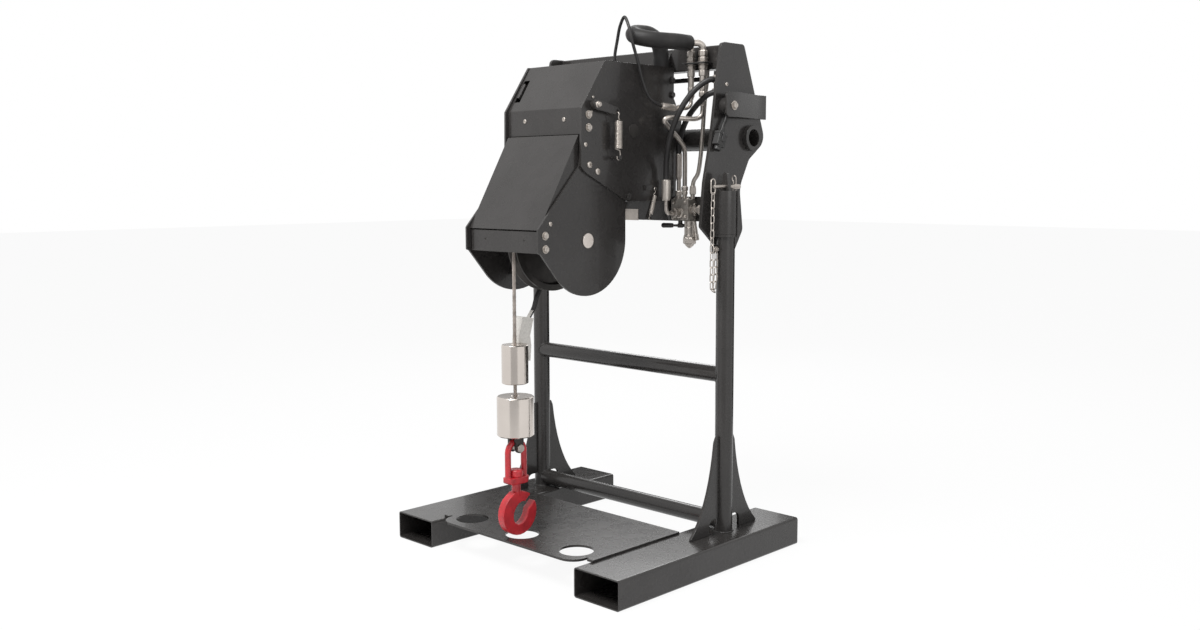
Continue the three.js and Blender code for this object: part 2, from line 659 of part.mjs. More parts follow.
function headPlateOutline() {
  const h = head;
  const lapTop = shoulder.toeZ + h.lap;
  const chin = Math.hypot(nose.frontY - h.pinY, nose.lowZ - h.pinZ);
  const chinAngle = Math.atan2(nose.lowZ - h.pinZ, nose.frontY - h.pinY) + 2 * Math.PI;
  const tangent = chinAngle + Math.acos(h.radius / chin);
  const rim = arc(h.pinY, h.pinZ, h.radius, 2 * Math.PI, tangent, 22);
  const front = filleted([
    [nose.frontY, nose.lowZ, nose.corner], [nose.frontY, nose.lowZ + nose.height, nose.corner],
    [shoulder.toeY, shoulder.toeZ + h.toeRise, h.toeRise], [shoulder.toeY + h.lapFront, lapTop],
    [h.rear - h.lapRear, lapTop], [h.rear, box.low - h.drop],
  ]);
  return [...rim, ...front];
}

function buildHeadPlates() {
  const outer = box.half - box.plate - seatGap;
  const hole = circle(head.pinY, head.pinZ, sheavePin.radius + seatGap, midSides);
  addPair('head_plate', sideways(headPlateOutline(), outer - head.plate, head.plate, [hole]), 'paint');
}

function buildBoxShell() {
  const half = box.half - box.plate - seatGap;
  const inset = box.inset;
  const sheet = box.shell;
  const front = shoulder.topY + box.lip;
  const floorFront = head.rear + box.floorFront;
  const outside = [
    [front, box.top - inset], [box.rear - inset, box.top - inset, box.shellCorner],
    [box.rear - inset, box.low + inset, box.heel - inset], [floorFront, box.low + inset],
  ];
  const inside = [
    [floorFront, box.low + inset + sheet],
    [box.rear - inset - sheet, box.low + inset + sheet, box.heel - inset - sheet],
    [box.rear - inset - sheet, box.top - inset - sheet, box.innerCorner], [front, box.top - inset - sheet],
  ];
  const shell = sideways(filleted([...outside, ...inside]), -half, 2 * half);
  const ribs = [-1, 1].map((side) => ribPlate(side));
  add('box_shell', join(shell, ...ribs), 'paint');
}

function ribPlate(side) {
  const rootFace = box.rear - box.inset - box.shell / 2;
  const beamFace = topBeam.front - seatGap;
  const barFace = lowBeam.front - seatGap;
  const c = carriage;
  const waist = c.pinY - rib.waist;
  const low = lowBeam.low;
  const [root, rootTop, crest, neck, waistTop, waistLow, hip, foot] = ribShares.map((share) => (
    low + share * (topBeam.low + topBeam.height - low)
  ));
  const middle = rib.placeShare * box.half;
  const outline = filleted([
    [rootFace, root], [rootFace, rootTop], [beamFace, crest], [beamFace, neck, rib.waistCorner],
    [waist, waistTop], [waist, waistLow], [barFace, hip], [barFace, foot], [barFace - rib.foot, foot],
  ]);
  const plate = sideways(outline, side * middle - rib.thickness / 2, rib.thickness);
  const tubeCut = rod(
    point(side * middle - rib.thickness, c.pinY, c.pinZ),
    point(side * middle + rib.thickness, c.pinY, c.pinZ),
    c.tubeRadius + seatGap, bigSides,
  );
  return cut(plate, tubeCut);
}

function buildUpperCover() {
  const half = box.half - box.plate - seatGap;
  const s = shoulder;
  const bandY = s.kneeY + cover.recess;
  const topY = s.topY + cover.sheet;
  const lowZ = noseFace.highZ + cover.lap;
  const bendZ = s.kneeZ + cover.lap;
  const sheet = cover.sheet;
  const slope = new THREE.Vector2(topY - bandY, box.top - bendZ).normalize();
  const inward = new THREE.Vector2(slope.y, -slope.x).multiplyScalar(sheet);
  const outline = filleted([
    [topY, box.top], [bandY, bendZ, cover.bend], [bandY, lowZ], [bandY + sheet, lowZ],
    [bandY + sheet, bendZ - sheet / 4, cover.innerBend], [topY + inward.x, box.top + inward.y],
  ], 3);
  const sheetMetal = sideways(outline, -half, 2 * half);
  const windowLeft = cover.windowInset - half;
  const window = brick(windowLeft, windowLeft + cover.window, s.kneeY - overrun, s.topY + 3 * overrun,
    cover.windowLow, cover.windowHigh);
  add('upper_cover', cut(sheetMetal, window), 'paint');
}

function buildLatch() {
  const s = shoulder;
  const topY = s.topY + cover.sheet;
  const bandY = s.kneeY + cover.recess;
  const bendZ = s.kneeZ + cover.lap;
  const lean = Math.atan2(topY - bandY, box.top - bendZ);
  const centreX = latch.inset - box.half;
  const middleZ = (cover.windowLow + cover.windowHigh) / 2;
  const middleY = bandY + (middleZ - bendZ) * Math.tan(lean);
  const half = latch.length / 2;
  const outline = [
    ...arc(0, half - latch.width / 2, latch.width / 2, 0, Math.PI, 6),
    ...arc(0, latch.width / 2 - half, latch.width / 2, Math.PI, 2 * Math.PI, 6),
  ];
  const bar = upright(outline, -latch.thickness / 2, latch.thickness);
  const windowLeft = cover.windowInset - (box.half - box.plate - seatGap);
  const arm = brick(
    windowLeft + seatGap - centreX, 0, -latch.armBack, latch.armFront, -latch.armHalf, latch.armHalf,
  );
  const piece = join(bar, arm).rotateX(-lean).translate(centreX, middleY + latch.proud, middleZ);
  add('window_latch', piece, 'zinc');
}

function buildNoseCover() {
  const n = noseFace;
  const half = box.half - box.plate - head.plate - 3 * seatGap;
  const along = new THREE.Vector2(n.highY - n.lowY, n.highZ - n.lowZ).normalize();
  const inward = new THREE.Vector2(along.y, -along.x).multiplyScalar(cover.sheet);
  const face = sideways(filleted([
    [n.lowY, n.lowZ], [n.highY, n.highZ, n.bend], [n.heelY, n.highZ], [n.heelY, n.highZ - cover.sheet],
    [n.highY + inward.x, n.highZ - cover.sheet, n.innerBend], [n.lowY + inward.x, n.lowZ + inward.y],
  ].reverse(), 3), -half, 2 * half);
  const skirt = [
    [n.lowY + n.skirtInset, n.lowZ + n.skirtRise], [n.lowY + n.skirtFront, n.lowZ + n.skirtRise],
    [n.heelY, n.heelZ], [n.heelY, n.highZ - n.skirtRise], [n.highY + n.skirtInset, n.highZ - n.skirtRise],
  ];
  const skirts = [-half, half - n.skirt].map((x) => sideways(filleted(skirt), x, n.skirt));
  add('nose_cover', join(face, ...skirts), 'paint');
}

function buildNoseBand() {
  const half = box.half - box.plate - head.plate - 3 * seatGap;
  const front = nose.frontY + cover.recess + cover.sheet;
  const sheet = 1.5 * cover.sheet;
  const flange = nose.flange;
  const outline = filleted([
    [-half, front, nose.corner], [half, front, nose.corner], [half, front + flange],
    [half - sheet, front + flange],
    [half - sheet, front + sheet], [-half + sheet, front + sheet], [-half + sheet, front + flange],
    [-half, front + flange],
  ], 3);
  const bandHeight = nose.height - nose.bandRise - nose.bandDrop;
  add('nose_band', flat(outline, nose.lowZ + nose.bandRise, bandHeight), 'paint');
}

// Drum, motor, sheave and rope
function ropeLayer() {
  return drum.coreRadius + 2 * winding.layers * ropeSize.radius - winding.groove;
}

function buildDrum() {
  const d = drum;
  const outer = ropeLayer();
  const wall = box.half - box.plate - seatGap;
  const profile = [
    [0, d.left], [d.flangeRadius, d.left], [d.flangeRadius, d.left + d.flange], [outer, d.left + d.flange],
    [outer, d.right - d.flange], [d.flangeRadius, d.right - d.flange], [d.flangeRadius, d.right],
    [d.hub, d.right], [d.hub, wall], [motor.shaftRadius, wall], [motor.shaftRadius, box.half + d.plug],
    [0, box.half + d.plug],
  ];
  add('winch_drum', turned(profile, point(0, d.y, d.z), axisX, midSides), 'dark');
  const body = [
    [0, -wall], [motor.flangeRadius, -wall], [motor.flangeRadius, -wall + motor.flange],
    [motor.bodyRadius, -wall + motor.flange], [motor.bodyRadius, d.left - seatGap], [0, d.left - seatGap],
  ];
  const end = -box.half - d.plug;
  const stub = [[0, end], [motor.shaftRadius, end], [motor.shaftRadius, -wall], [0, -wall]];
  const whole = join(
    turned(body, point(0, d.y, d.z), axisX, midSides), turned(stub, point(0, d.y, d.z), axisX, midSides),
  );
  add('hydraulic_motor', whole, 'dark');
}

function buildSheave() {
  const s = sheave;
  const half = s.width / 2;
  const groove = s.pitch - ropeSize.radius - runGap;
  const seat = ropeSize.radius * s.seatShare;
  const flare = s.rim - s.flareShare * s.lip;
  const ring = [
    [s.bore, -s.hubWidth / 2], [s.hub, -s.hubWidth / 2], [s.hub, -s.web / 2], [s.rim - 3 * s.lip, -s.web / 2],
    [flare, -half], [s.rim, -half], [s.rim, -half + s.lip / 2], [groove, -seat],
    [groove, seat], [s.rim, half - s.lip / 2], [s.rim, half], [flare, half],
    [s.rim - 3 * s.lip, s.web / 2], [s.hub, s.web / 2], [s.hub, s.hubWidth / 2], [s.bore, s.hubWidth / 2],
    [s.bore, -s.hubWidth / 2],
  ];
  add('sheave', turned(ring, point(0, head.pinY, head.pinZ), axisX, bigSides), 'dark');
  const wall = box.half - box.plate - head.plate - 2 * seatGap;
  const side = s.hubWidth / 2 + runGap;
  const out = box.half - box.plate + sheavePin.cap;
  const p = sheavePin;
  const pin = [
    [0, -out], [p.radius, -out], [p.radius, -wall], [p.collar, -wall], [p.collar, -side], [p.radius, -side],
    [p.radius, side], [p.collar, side], [p.collar, wall], [p.radius, wall], [p.radius, out], [0, out],
  ];
  add('sheave_pin', turned(pin, point(0, head.pinY, head.pinZ), axisX, midSides), 'steel');
}

function buildRope() {
  const drumRadius = ropeLayer() + ropeSize.radius + seatGap;
  const across = new THREE.Vector2(head.pinY - drum.y, head.pinZ - drum.z);
  const gap = across.length();
  const along = across.clone().divideScalar(gap);
  const leftHand = new THREE.Vector2(along.y, -along.x);
  const share = (drumRadius - sheave.pitch) / gap;
  const normal = along.clone().multiplyScalar(share)
    .add(leftHand.multiplyScalar(Math.sqrt(1 - share * share)));
  const leave = new THREE.Vector2(drum.y, drum.z).add(normal.clone().multiplyScalar(drumRadius));
  const startAngle = normal.angle();
  const points = [point(0, leave.x, leave.y)];
  for (let i = 0; i <= 8; i += 1) {
    const angle = startAngle + (Math.PI - startAngle) * (i / 8);
    const [across, up] = [sheave.pitch * Math.cos(angle), sheave.pitch * Math.sin(angle)];
    points.push(point(0, head.pinY + across, head.pinZ + up));
  }
  points.push(point(0, ropeSize.fallY, (head.pinZ + ropeSize.end) / 2));
  points.push(point(0, ropeSize.fallY, ropeSize.end));
  add('rope', sweep(points, ropeSize.radius, ropeSize.sides), 'rope');
}

// Load line: weights, clevis, swivel bail and hook
function weightProfile(radius, height, chamfer, bore) {
  return [
    [bore, 0], [radius - chamfer, 0], [radius, chamfer], [radius, height - chamfer],
    [radius - chamfer, height], [bore, height], [bore, 0],
  ];
}

function buildWeights() {
  const l = limitWeight;
  const limit = turned(
    weightProfile(l.radius, l.height, l.chamfer, ropeBore), point(0, ropeSize.fallY, l.low), axisZ, bigSides,
  );
  add('limit_weight', limit, 'steel');
  const h = hookWeight;
  const depth = h.boreEnd - h.low;
  const profile = [
    [0, 0], [h.radius - h.chamfer, 0], [h.radius, h.chamfer], [h.radius, h.height - h.chamfer],
    [h.radius - h.chamfer, h.height], [ropeBore, h.height], [ropeBore, depth], [0, depth],
  ];
  add('hook_weight', turned(profile, point(0, ropeSize.fallY, h.low), axisZ, bigSides), 'steel');
}

function buildClevis() {
  const c = clevis;
  const top = hookWeight.low - seatGap;
  const discLow = top - c.discHeight;
  const disc = rod(point(0, ropeSize.fallY, discLow), point(0, ropeSize.fallY, top), c.disc, midSides);
  const outline = [
    new THREE.Vector2(ropeSize.fallY + c.earHalf, discLow + sink / 2),
    new THREE.Vector2(ropeSize.fallY - c.earHalf, discLow + sink / 2),
    ...arc(ropeSize.fallY, clevisPin.z, c.earHalf, Math.PI, 2 * Math.PI, 10),
  ];
  const hole = circle(ropeSize.fallY, clevisPin.z, clevisPin.radius + seatGap, midSides);
  const ears = [c.earGap, -c.earGap - c.ear].map((x) => sideways(outline, x, c.ear, [hole]));
  add('shackle', join(disc, ...ears), 'dark');
  const p = clevisPin;
  const middle = (x) => point(x, ropeSize.fallY, p.z);
  const earOut = c.earGap + c.ear + seatGap;
  const bolt = rod(middle(-p.half), middle(p.half), p.radius, midSides);
  const boltHead = rod(middle(-earOut - p.headLength), middle(-earOut), p.head, 6);
  const nut = rod(middle(earOut), middle(earOut + p.headLength), p.head, 6);
  add('shackle_pin', join(bolt, boltHead, nut), 'zinc');
}

function buildBail() {
  const b = bail;
  const y = ropeSize.fallY;
  const archZ = clevisPin.z + clevisPin.radius + runGap - (b.halfSpan - b.bar);
  const foot = b.baseLow + b.base / 2;
  const points = [point(0, y - b.halfSpan, foot)];
  for (let i = 0; i <= 10; i += 1) {
    const angle = Math.PI - (Math.PI * i) / 10;
    points.push(point(0, y + b.halfSpan * Math.cos(angle), archZ + b.halfSpan * Math.sin(angle)));
  }
  points.push(point(0, y + b.halfSpan, foot));
  const arch = sweep(points, b.bar, smallSides);
  const reach = b.halfSpan + b.bar;
  const slope = b.edge * b.slopeShare;
  const cheek = b.edge * b.cheekShare;
  const outline = filleted([
    [y - reach, b.baseLow + b.edge, cheek], [y - reach + slope, b.baseLow, b.edge],
    [y + reach - slope, b.baseLow, b.edge], [y + reach, b.baseLow + b.edge, cheek],
    [y + reach, b.baseLow + b.base, b.corner], [y - reach, b.baseLow + b.base, b.corner],
  ], 3);
  const base = sideways(outline, -b.baseDepth / 2, b.baseDepth);
  const plan = filleted([
    [-b.baseDepth / 2, y - reach, b.planCorner], [b.baseDepth / 2, y - reach, b.planCorner],
    [b.baseDepth / 2, y + reach, b.planCorner], [-b.baseDepth / 2, y + reach, b.planCorner],
  ], 5);
  const rounded = common(base, flat(plan, b.baseLow - overrun, b.base + 2 * overrun));
  const bore = rod(
    point(0, y, b.baseLow - overrun), point(0, y, b.baseLow + b.base + overrun),
    hookShape.shank + runGap, midSides,
  );
  add('swivel_bail', cut(join(arch, rounded), bore), 'red');
}

function hookEye() {
  const h = hookShape;
  const lean = THREE.MathUtils.degToRad(h.eyeLean);
  const centreY = ropeSize.fallY + h.offset + h.eyeShift;
  return Array.from({ length: midSides }, (_, i) => {
    const angle = (2 * Math.PI * i) / midSides;
    const u = h.eyeHalfWidth * Math.cos(angle);
    const v = h.eyeHalfHeight * Math.sin(angle);
    return new THREE.Vector2(
      centreY + u * Math.cos(lean) + v * Math.sin(lean), h.centreZ - u * Math.sin(lean) + v * Math.cos(lean),
    );
  });
}

function buildHook() {
  const h = hookShape;
  const y = ropeSize.fallY;
  const half = h.thickness / 2;
  const s = neckShares;
  const disc = sideways(circle(y + h.offset, h.centreZ, h.radius, bigSides), -half, h.thickness);
  const neck = sideways(filleted([
    [y - h.neckWidth * s.rear, h.centreZ + h.radius * s.rearLow],
    [y + h.neckWidth * s.front, h.centreZ + h.radius * s.frontLow],
    [y + h.neckWidth * s.top, h.neckTop, h.neckCorner], [y - h.neckWidth * s.top, h.neckTop, h.neckCorner],
  ], 3), -half, h.thickness);
  const eye = sideways(hookEye(), -half - overrun, h.thickness + 2 * overrun);
  const slant = THREE.MathUtils.degToRad(h.throatAngle);
  const throat = brick(-half - overrun, half + overrun, 0, h.radius + overrun, -h.throat / 2, h.throat / 2)
    .rotateX(slant)
    .translate(0, y + h.offset + 2 * h.eyeShift, h.centreZ + h.eyeShift);
  const flatHook = cut(join(disc, neck), eye, throat);
  const headLow = bail.baseLow + bail.base + seatGap;
  const shank = rod(point(0, y, h.neckTop - h.shankRoot), point(0, y, headLow + sink), h.shank, midSides);
  const shoulderZ = h.headHeight - h.headEdge;
  const cap = turned(
    [
      [0, 0], [h.headRadius, 0], [h.headRadius, shoulderZ], [h.headRadius - h.headEdge, h.headHeight],
      [0, h.headHeight],
    ],
    point(0, y, headLow), axisZ, midSides,
  );
  add('hook', join(flatHook, shank, cap), 'red');
}

// Limit switch in the head, and the strap that hangs the upper weight on it
function buildLimitLine() {
  const s = limitSwitch;
  const wall = box.half - box.plate - head.plate - 2 * seatGap;
  const right = s.width - wall;
  const body = brick(-wall, right, s.frontY, s.rearY, s.low, s.high);
  const leverY = (s.frontY + s.rearY) / 2;
  const barZ = s.low + 2 * s.bar;
  const barEnd = s.leverX + strap.width / 2 + strap.endGap;
  const bar = rod(point(right - s.bar, leverY, barZ), point(barEnd, leverY, barZ), s.bar);
  add('limit_switch', join(body, bar), 'dark');
  const half = strap.width / 2;
  const w = limitWeight;
  const top = w.low + w.height;
  const slotOf = (radius) => [
    ...arc(leverY, barZ, radius, 0, Math.PI, 6),
    ...arc(leverY, barZ - strap.lift, radius, Math.PI, 2 * Math.PI, 6),
  ];
  const eyeRadius = s.bar + runGap;
  const eyeLow = barZ - strap.lift - eyeRadius;
  const eye = sideways(slotOf(eyeRadius + strap.rim), s.leverX - half, strap.width, [slotOf(eyeRadius)]);
  const rootY = ropeSize.fallY + w.radius;
  const wedgeLow = top - wedge.drop;
  const startY = rootY + wedge.depth - strap.inset;
  const startZ = wedgeLow + wedge.height - strap.tuck;
  const eyeFoot = eyeLow - sink / 2;
  const curve = new THREE.CatmullRomCurve3([
    ...strapShares.map(([a, b]) => point(0, startY + a * (leverY - startY), startZ + b * (eyeFoot - startZ))),
    point(0, leverY, eyeFoot),
  ], false, 'centripetal').getPoints(12);
  const outer = curve.map((p) => new THREE.Vector2(p.y - strap.thickness, p.z));
  const inner = curve.map((p) => new THREE.Vector2(p.y + strap.thickness, p.z)).reverse();
  const band = sideways([...outer, ...inner], s.leverX - half, strap.width);
  const outline = filleted(cornersOf(wedgeShares, rootY, wedgeLow, wedge.depth, wedge.height), 3);
  const socket = sideways(outline, s.leverX - wedge.overlap, wedge.width);
  const weightCut = rod(
    point(0, ropeSize.fallY, w.low - overrun), point(0, ropeSize.fallY, top + seatGap), w.radius + seatGap,
    bigSides,
  );
  add('limit_link', cut(join(band, eye, socket), weightCut), 'dark');
}

// Spring lever and the two extension springs on the right cheek
function buildLever() {
  const l = lever;
  const along = new THREE.Vector2(l.tipY - l.pivotY, l.tipZ - l.pivotZ);
  const heading = along.angle();
  const quarter = Math.PI / 2;
  const outline = [
    ...arc(l.pivotY, l.pivotZ, l.halfHub, heading + quarter, heading + 3 * quarter, 8),
    ...arc(l.tipY, l.tipZ, l.halfTip, heading - quarter, heading + quarter, 8),
  ];
  const plate = sideways(outline, leverX, l.plate, [circle(l.tipY, l.tipZ, l.hole, smallSides)]);
  const hub = rod(
    point(box.half + seatGap, l.pivotY, l.pivotZ), point(leverX + sink / 2, l.pivotY, l.pivotZ), l.hub,
    midSides,
  );
  const pin = rod(
    point(leverX, l.pivotY, l.pivotZ), point(leverX + l.plate + l.pinOut, l.pivotY, l.pivotZ), l.pin,
    smallSides,
  );
  add('lever_arm', join(plate, hub, pin), 'paint');
}

// A coil between two straight ends, its points worked out from a formula
function coilPoints(from, to, radius, curlCount) {
  const axis = to.clone().sub(from);
  const length = axis.length();
  const along = axis.clone().divideScalar(length);
  const side = new THREE.Vector3().crossVectors(along, axisX).normalize();
  const front = new THREE.Vector3().crossVectors(side, along).normalize();
  const steps = curlCount * 8;
  return Array.from({ length: steps + 1 }, (_, i) => {
    const turn = (2 * Math.PI * i) / 8;
    return from.clone()
      .addScaledVector(along, (length * i) / steps)
      .addScaledVector(side, radius * Math.cos(turn))
      .addScaledVector(front, radius * Math.sin(turn));
  });
}

function printLeastGap(name, points, wire, stepsApart) {
  let least = Infinity;
  for (let i = 0; i < points.length; i += 1) {
    for (let j = i + stepsApart; j < points.length; j += 1) {
      least = Math.min(least, points[i].distanceTo(points[j]) - 2 * wire);
    }
  }
  console.log(`${name}: least gap between its own turns ${least.toFixed(2)} mm`);
}

function buildSprings() {
  const s = spring;
  const y = lever.tipY;
  const x = springX;
  const topCentre = point(x, y, s.top);
  const lowCentre = point(x, y, s.low);
  const holeFloor = lever.tipZ - lever.hole + s.wire + seatGap;
  const tail = s.anchor + s.wire + seatGap;
  const hookTurn = (share) => {
    const angle = Math.PI * share;
    return point(x, y + tail * Math.cos(angle), s.anchorZ - tail * Math.sin(angle));
  };
  const points = [
    point(leverX - 2 * s.wire, y, holeFloor), point(x - s.wire, y, holeFloor + runGap),
    point(x + s.wire, y, holeFloor - s.dip), point(x, y, s.top + s.rise),
    point(x, y + s.coil / 2, s.top + s.bend),
    ...coilPoints(topCentre, lowCentre, s.coil, s.curlCount),
    point(x, y + s.coil / 2, s.low - s.bend), point(x, y + tail, s.anchorZ + tail + s.dip - seatGap),
    ...[0, 1, 2, 3, 4].map((step) => hookTurn(step / 4)), point(x, y - tail, s.anchorZ + 2 * s.wire),
  ];
  printLeastGap('lever_spring', points, s.wire, 6);
  add('lever_spring', sweep(points, s.wire), 'zinc');
  const g = guideSpring;
  const from = point(guideX, g.topY, g.topZ);
  const to = point(guideX, g.lowY, g.lowZ);
  const along = to.clone().sub(from).normalize();
  const eyeLoop = (centreY, centreZ, startTurn) => Array.from({ length: 7 }, (_, i) => {
    const angle = startTurn + (Math.PI / 4) * i;
    const reach = (springStud.radius + g.wire + seatGap) / Math.cos(Math.PI / 8);
    return point(guideX, centreY + reach * Math.cos(angle), centreZ + reach * Math.sin(angle));
  });
  const coilStart = from.clone().addScaledVector(along, g.eye);
  const coilEnd = to.clone().addScaledVector(along, -g.eye);
  const guide = [
    ...eyeLoop(g.topY, g.topZ + springStud.topRise, 1.7 * Math.PI).reverse(),
    ...coilPoints(coilStart, coilEnd, g.coil, g.curlCount),
    ...eyeLoop(g.lowY, g.lowZ - springStud.lowDrop, 0.5 * Math.PI),
  ];
  printLeastGap('guide_spring', guide, g.wire, 6);
  add('guide_spring', sweep(guide, g.wire), 'zinc');
}

// Bulkhead with two fittings, the hoses and the steel pipes
function fittingStack(x) {
  const b = bulkhead;
  const s = stack;
  const top = b.z + b.plate;
  const nutLow = b.z - s.nutHeight;
  const ring = s.nut - s.ringStep;
  const profile = [
    [0, s.low], [s.waist, s.low], [s.waist, s.low + s.foot], [s.stem, s.low + s.foot],
    [s.stem, nutLow - s.ringLow], [ring, nutLow - s.ringLow], [ring, nutLow - s.ringHigh],
    [s.stem, nutLow - s.ringHigh], [s.stem, nutLow], [s.nut, nutLow], [s.nut, b.z + sink / 2],
    [s.stem, b.z + sink / 2], [s.stem, top - sink / 2], [s.nut, top - sink / 2], [s.nut, top + s.nutHeight],
    [s.elbow, top + s.nutHeight], [s.elbow, top + s.nutHeight + s.foot], [0, top + s.nutHeight + s.foot],
  ];
  return turned(profile, point(x, b.lineY, 0), axisZ, smallSides);
}

function fittingElbow(x, outletX) {
  const b = bulkhead;
  const h = sleeveHose;
  const top = b.z + b.plate + stack.nutHeight + sink;
  const path = elbowShares.map(([across, forward, rise]) => point(
    x + across * (outletX - x), b.lineY + forward * (h.endY - b.lineY), top + rise * (h.endZ - top),
  ));
  path.push(point(outletX, h.endY + seatGap, h.endZ));
  return tube(path, stack.elbow, smallSides, 9);
}

function buildBulkhead() {
  const b = bulkhead;
  const left = box.half + b.out;
  const plate = brick(left, left + b.width, b.front, topBeam.front - seatGap, b.z, b.z + b.plate);
  const secondX = unionX + b.pitch;
  const gap = b.gapShare * stack.elbow;
  const pieces = [
    fittingStack(unionX), fittingStack(secondX), fittingElbow(unionX, sleeveHose.endX - gap),
    fittingElbow(secondX, sleeveHose.endX + gap),
  ];
  add('bulkhead_fittings', join(plate, ...pieces), 'zinc');
}

function buildSleeveHose() {
  const h = sleeveHose;
  const seat = box.top - box.inset + seatGap;
  const path = [
    point(h.endX, h.endY, h.endZ), point(h.endX, h.endY - 18, h.endZ), point(278, 122, 1815),
    point(254, 84, 1817), point(229, 50, 1820), point(202, 30, 1826), point(176, 24, 1833),
    point(155, 34, 1842), point(142, 58, 1850), point(141, 90, 1853), point(148, 126, 1850),
    point(157, 158, 1829), point(162, 171, 1790), point(162, 172, 1762), point(162, 172, box.top + seatGap),
  ];
  add('sleeved_hose', tube(path, h.radius, smallSides + 2, 28), 'rubber');
}

function buildThinHose() {
  const t = thin;
  const inlet = point(unionX, bulkhead.lineY, stack.low - seatGap);
  const [tip, back] = [point(247, 150, 1588), point(231, 98, 1595)];
  const link = tube([
    inlet, point(inlet.x, inlet.y, inlet.z - 14), point(inlet.x - 3, inlet.y - 12, 1592),
    point(inlet.x - 8, inlet.y - 32, 1588), tip.clone(),
  ], t.link, hoseSides, 10);
  const ferrule = rod(tip, back, t.ferrule, 6);
  const seat = box.top - box.inset + seatGap;
  const path = [
    back.clone().lerp(tip, t.overlapShare), back.clone(), point(219, 51, 1620), point(211, 22, 1676),
    point(206, 0, 1746),
    point(201, -20, 1806), point(186, -23, 1862), point(156, -13, 1897), point(130, -7, 1870),
    point(110, -1, 1819), point(100, -1, 1778), point(98, -1, 1752), point(98, -1, seat),
  ];
  add('thin_hose', join(link, ferrule, tube(path, t.radius, hoseSides, 42)), 'rubber');
}

function buildHoseA() {
  const h = hose;
  const foot = point(222, 134, 1263);
  const neck = point(222, 134, 1263 + h.ferruleLength);
  const outlet = point(blockLeft + block.portInset, block.front - block.portLength - seatGap, block.portZ);
  const route = [
    neck.clone().setZ(neck.z - h.tuck), point(222, 134, 1365), point(232, 125, 1410), point(257, 111, 1478),
    point(295, 110, 1560), point(326, 131, 1622), point(357, 156, 1662), point(380, 176, 1680),
    point(couplerX, coupler.y - coupler.lead, coupler.highZ),
    point(couplerX, coupler.y - seatGap, coupler.highZ),
  ];
  const elbow = tube([
    foot.clone().setZ(foot.z + h.tuck), point(222, 134, 1244), point(219, 141, 1226), point(212, 158, 1217),
    point(206, 176, 1217), outlet,
  ], h.radius * h.elbowShare, hoseSides, 10);
  const end = rod(
    point(couplerX, coupler.y - coupler.ferrule, coupler.highZ),
    point(couplerX, coupler.y - seatGap, coupler.highZ),
    h.ferrule, 12,
  );
  const whole = join(tube(route, h.radius, hoseSides, 32), rod(foot, neck, h.ferrule, 12), elbow, end);
  add('pressure_hose', whole, 'rubber');
}

function buildHoseB() {
  const h = hose;
  const seat = block.low + block.height + seatGap;
  const foot = point(191, 240, seat);
  const neck = point(191, 240, seat + h.adapterShare * h.ferruleLength);
  const route = [
    neck.clone().setZ(neck.z - h.tuck), neck.clone().setZ(neck.z + h.lead), point(203, 235, 1490),
    point(232, 222, 1535),
    point(272, 208, 1573), point(330, 190, 1610), point(372, 184, 1632),
    point(couplerX, coupler.y - coupler.lead, coupler.lowZ),
    point(couplerX, coupler.y - seatGap, coupler.lowZ),
  ];
  const end = rod(
    point(couplerX, coupler.y - coupler.ferrule, coupler.lowZ),
    point(couplerX, coupler.y - seatGap, coupler.lowZ),
    h.ferrule, 12,
  );
  const profile = adapterShares.map(([a, b]) => [a * h.ferrule, b * (neck.z - seat)]);
  const adapter = turned(profile, foot, axisZ, smallSides);
  add('return_hose', join(tube(route, h.radius, hoseSides, 26), adapter, end), 'rubber');
}

function pipeNut(base) {
  const p = pipe;
  const cone = p.coneShare * p.nutHeight;
  return turned([[0, 0], [p.nut, 0], [p.nut, 2 * p.nutHeight], [p.radius, cone], [0, cone]], base, axisZ, 6);
}

function buildPipes() {
  const p = pipe;
  const seat = block.low + block.height + seatGap;
  const startX = unionX + bulkhead.pitch;
  const frontX = blockLeft + p.frontInset;
  const rearX = blockLeft + p.rearInset;
  const start = point(startX, bulkhead.lineY, stack.low - seatGap);
  const route = [
    start, point(startX, bulkhead.lineY, 1580), point(startX - 2, bulkhead.lineY - 4, 1562),
    point(startX - 12, bulkhead.lineY - 16, 1552), point(276, 146, 1552), point(256, 106, 1553),
    point(250, 95, 1548), point(247, 95, 1540), point(246, 106, 1532), point(228, 222, 1456),
    point(222, 235, 1440), point(frontX, p.frontY, 1420), point(frontX, p.frontY, seat + p.nutHeight),
  ];
  const first = join(tube(route, p.radius, hoseSides, 34), pipeNut(point(frontX, p.frontY, seat)));
  add('steel_pipe_front', first, 'steel');
  const topX = 304;
  const slanted = [
    point(topX, 262, topBeam.low - seatGap), point(topX - 1, 261, 1690), point(topX - 6, 258, 1640),
    point(266, 258, 1360), point(248, 257, 1334), point(rearX, p.rearY, 1314),
    point(rearX, p.rearY, seat + p.nutHeight),
  ];
  const rearNut = pipeNut(point(rearX, p.rearY, seat));
  const second = join(tube(slanted, p.radius * p.thinShare, hoseSides, 18), rearNut);
  add('steel_pipe_rear', second, 'steel');
}

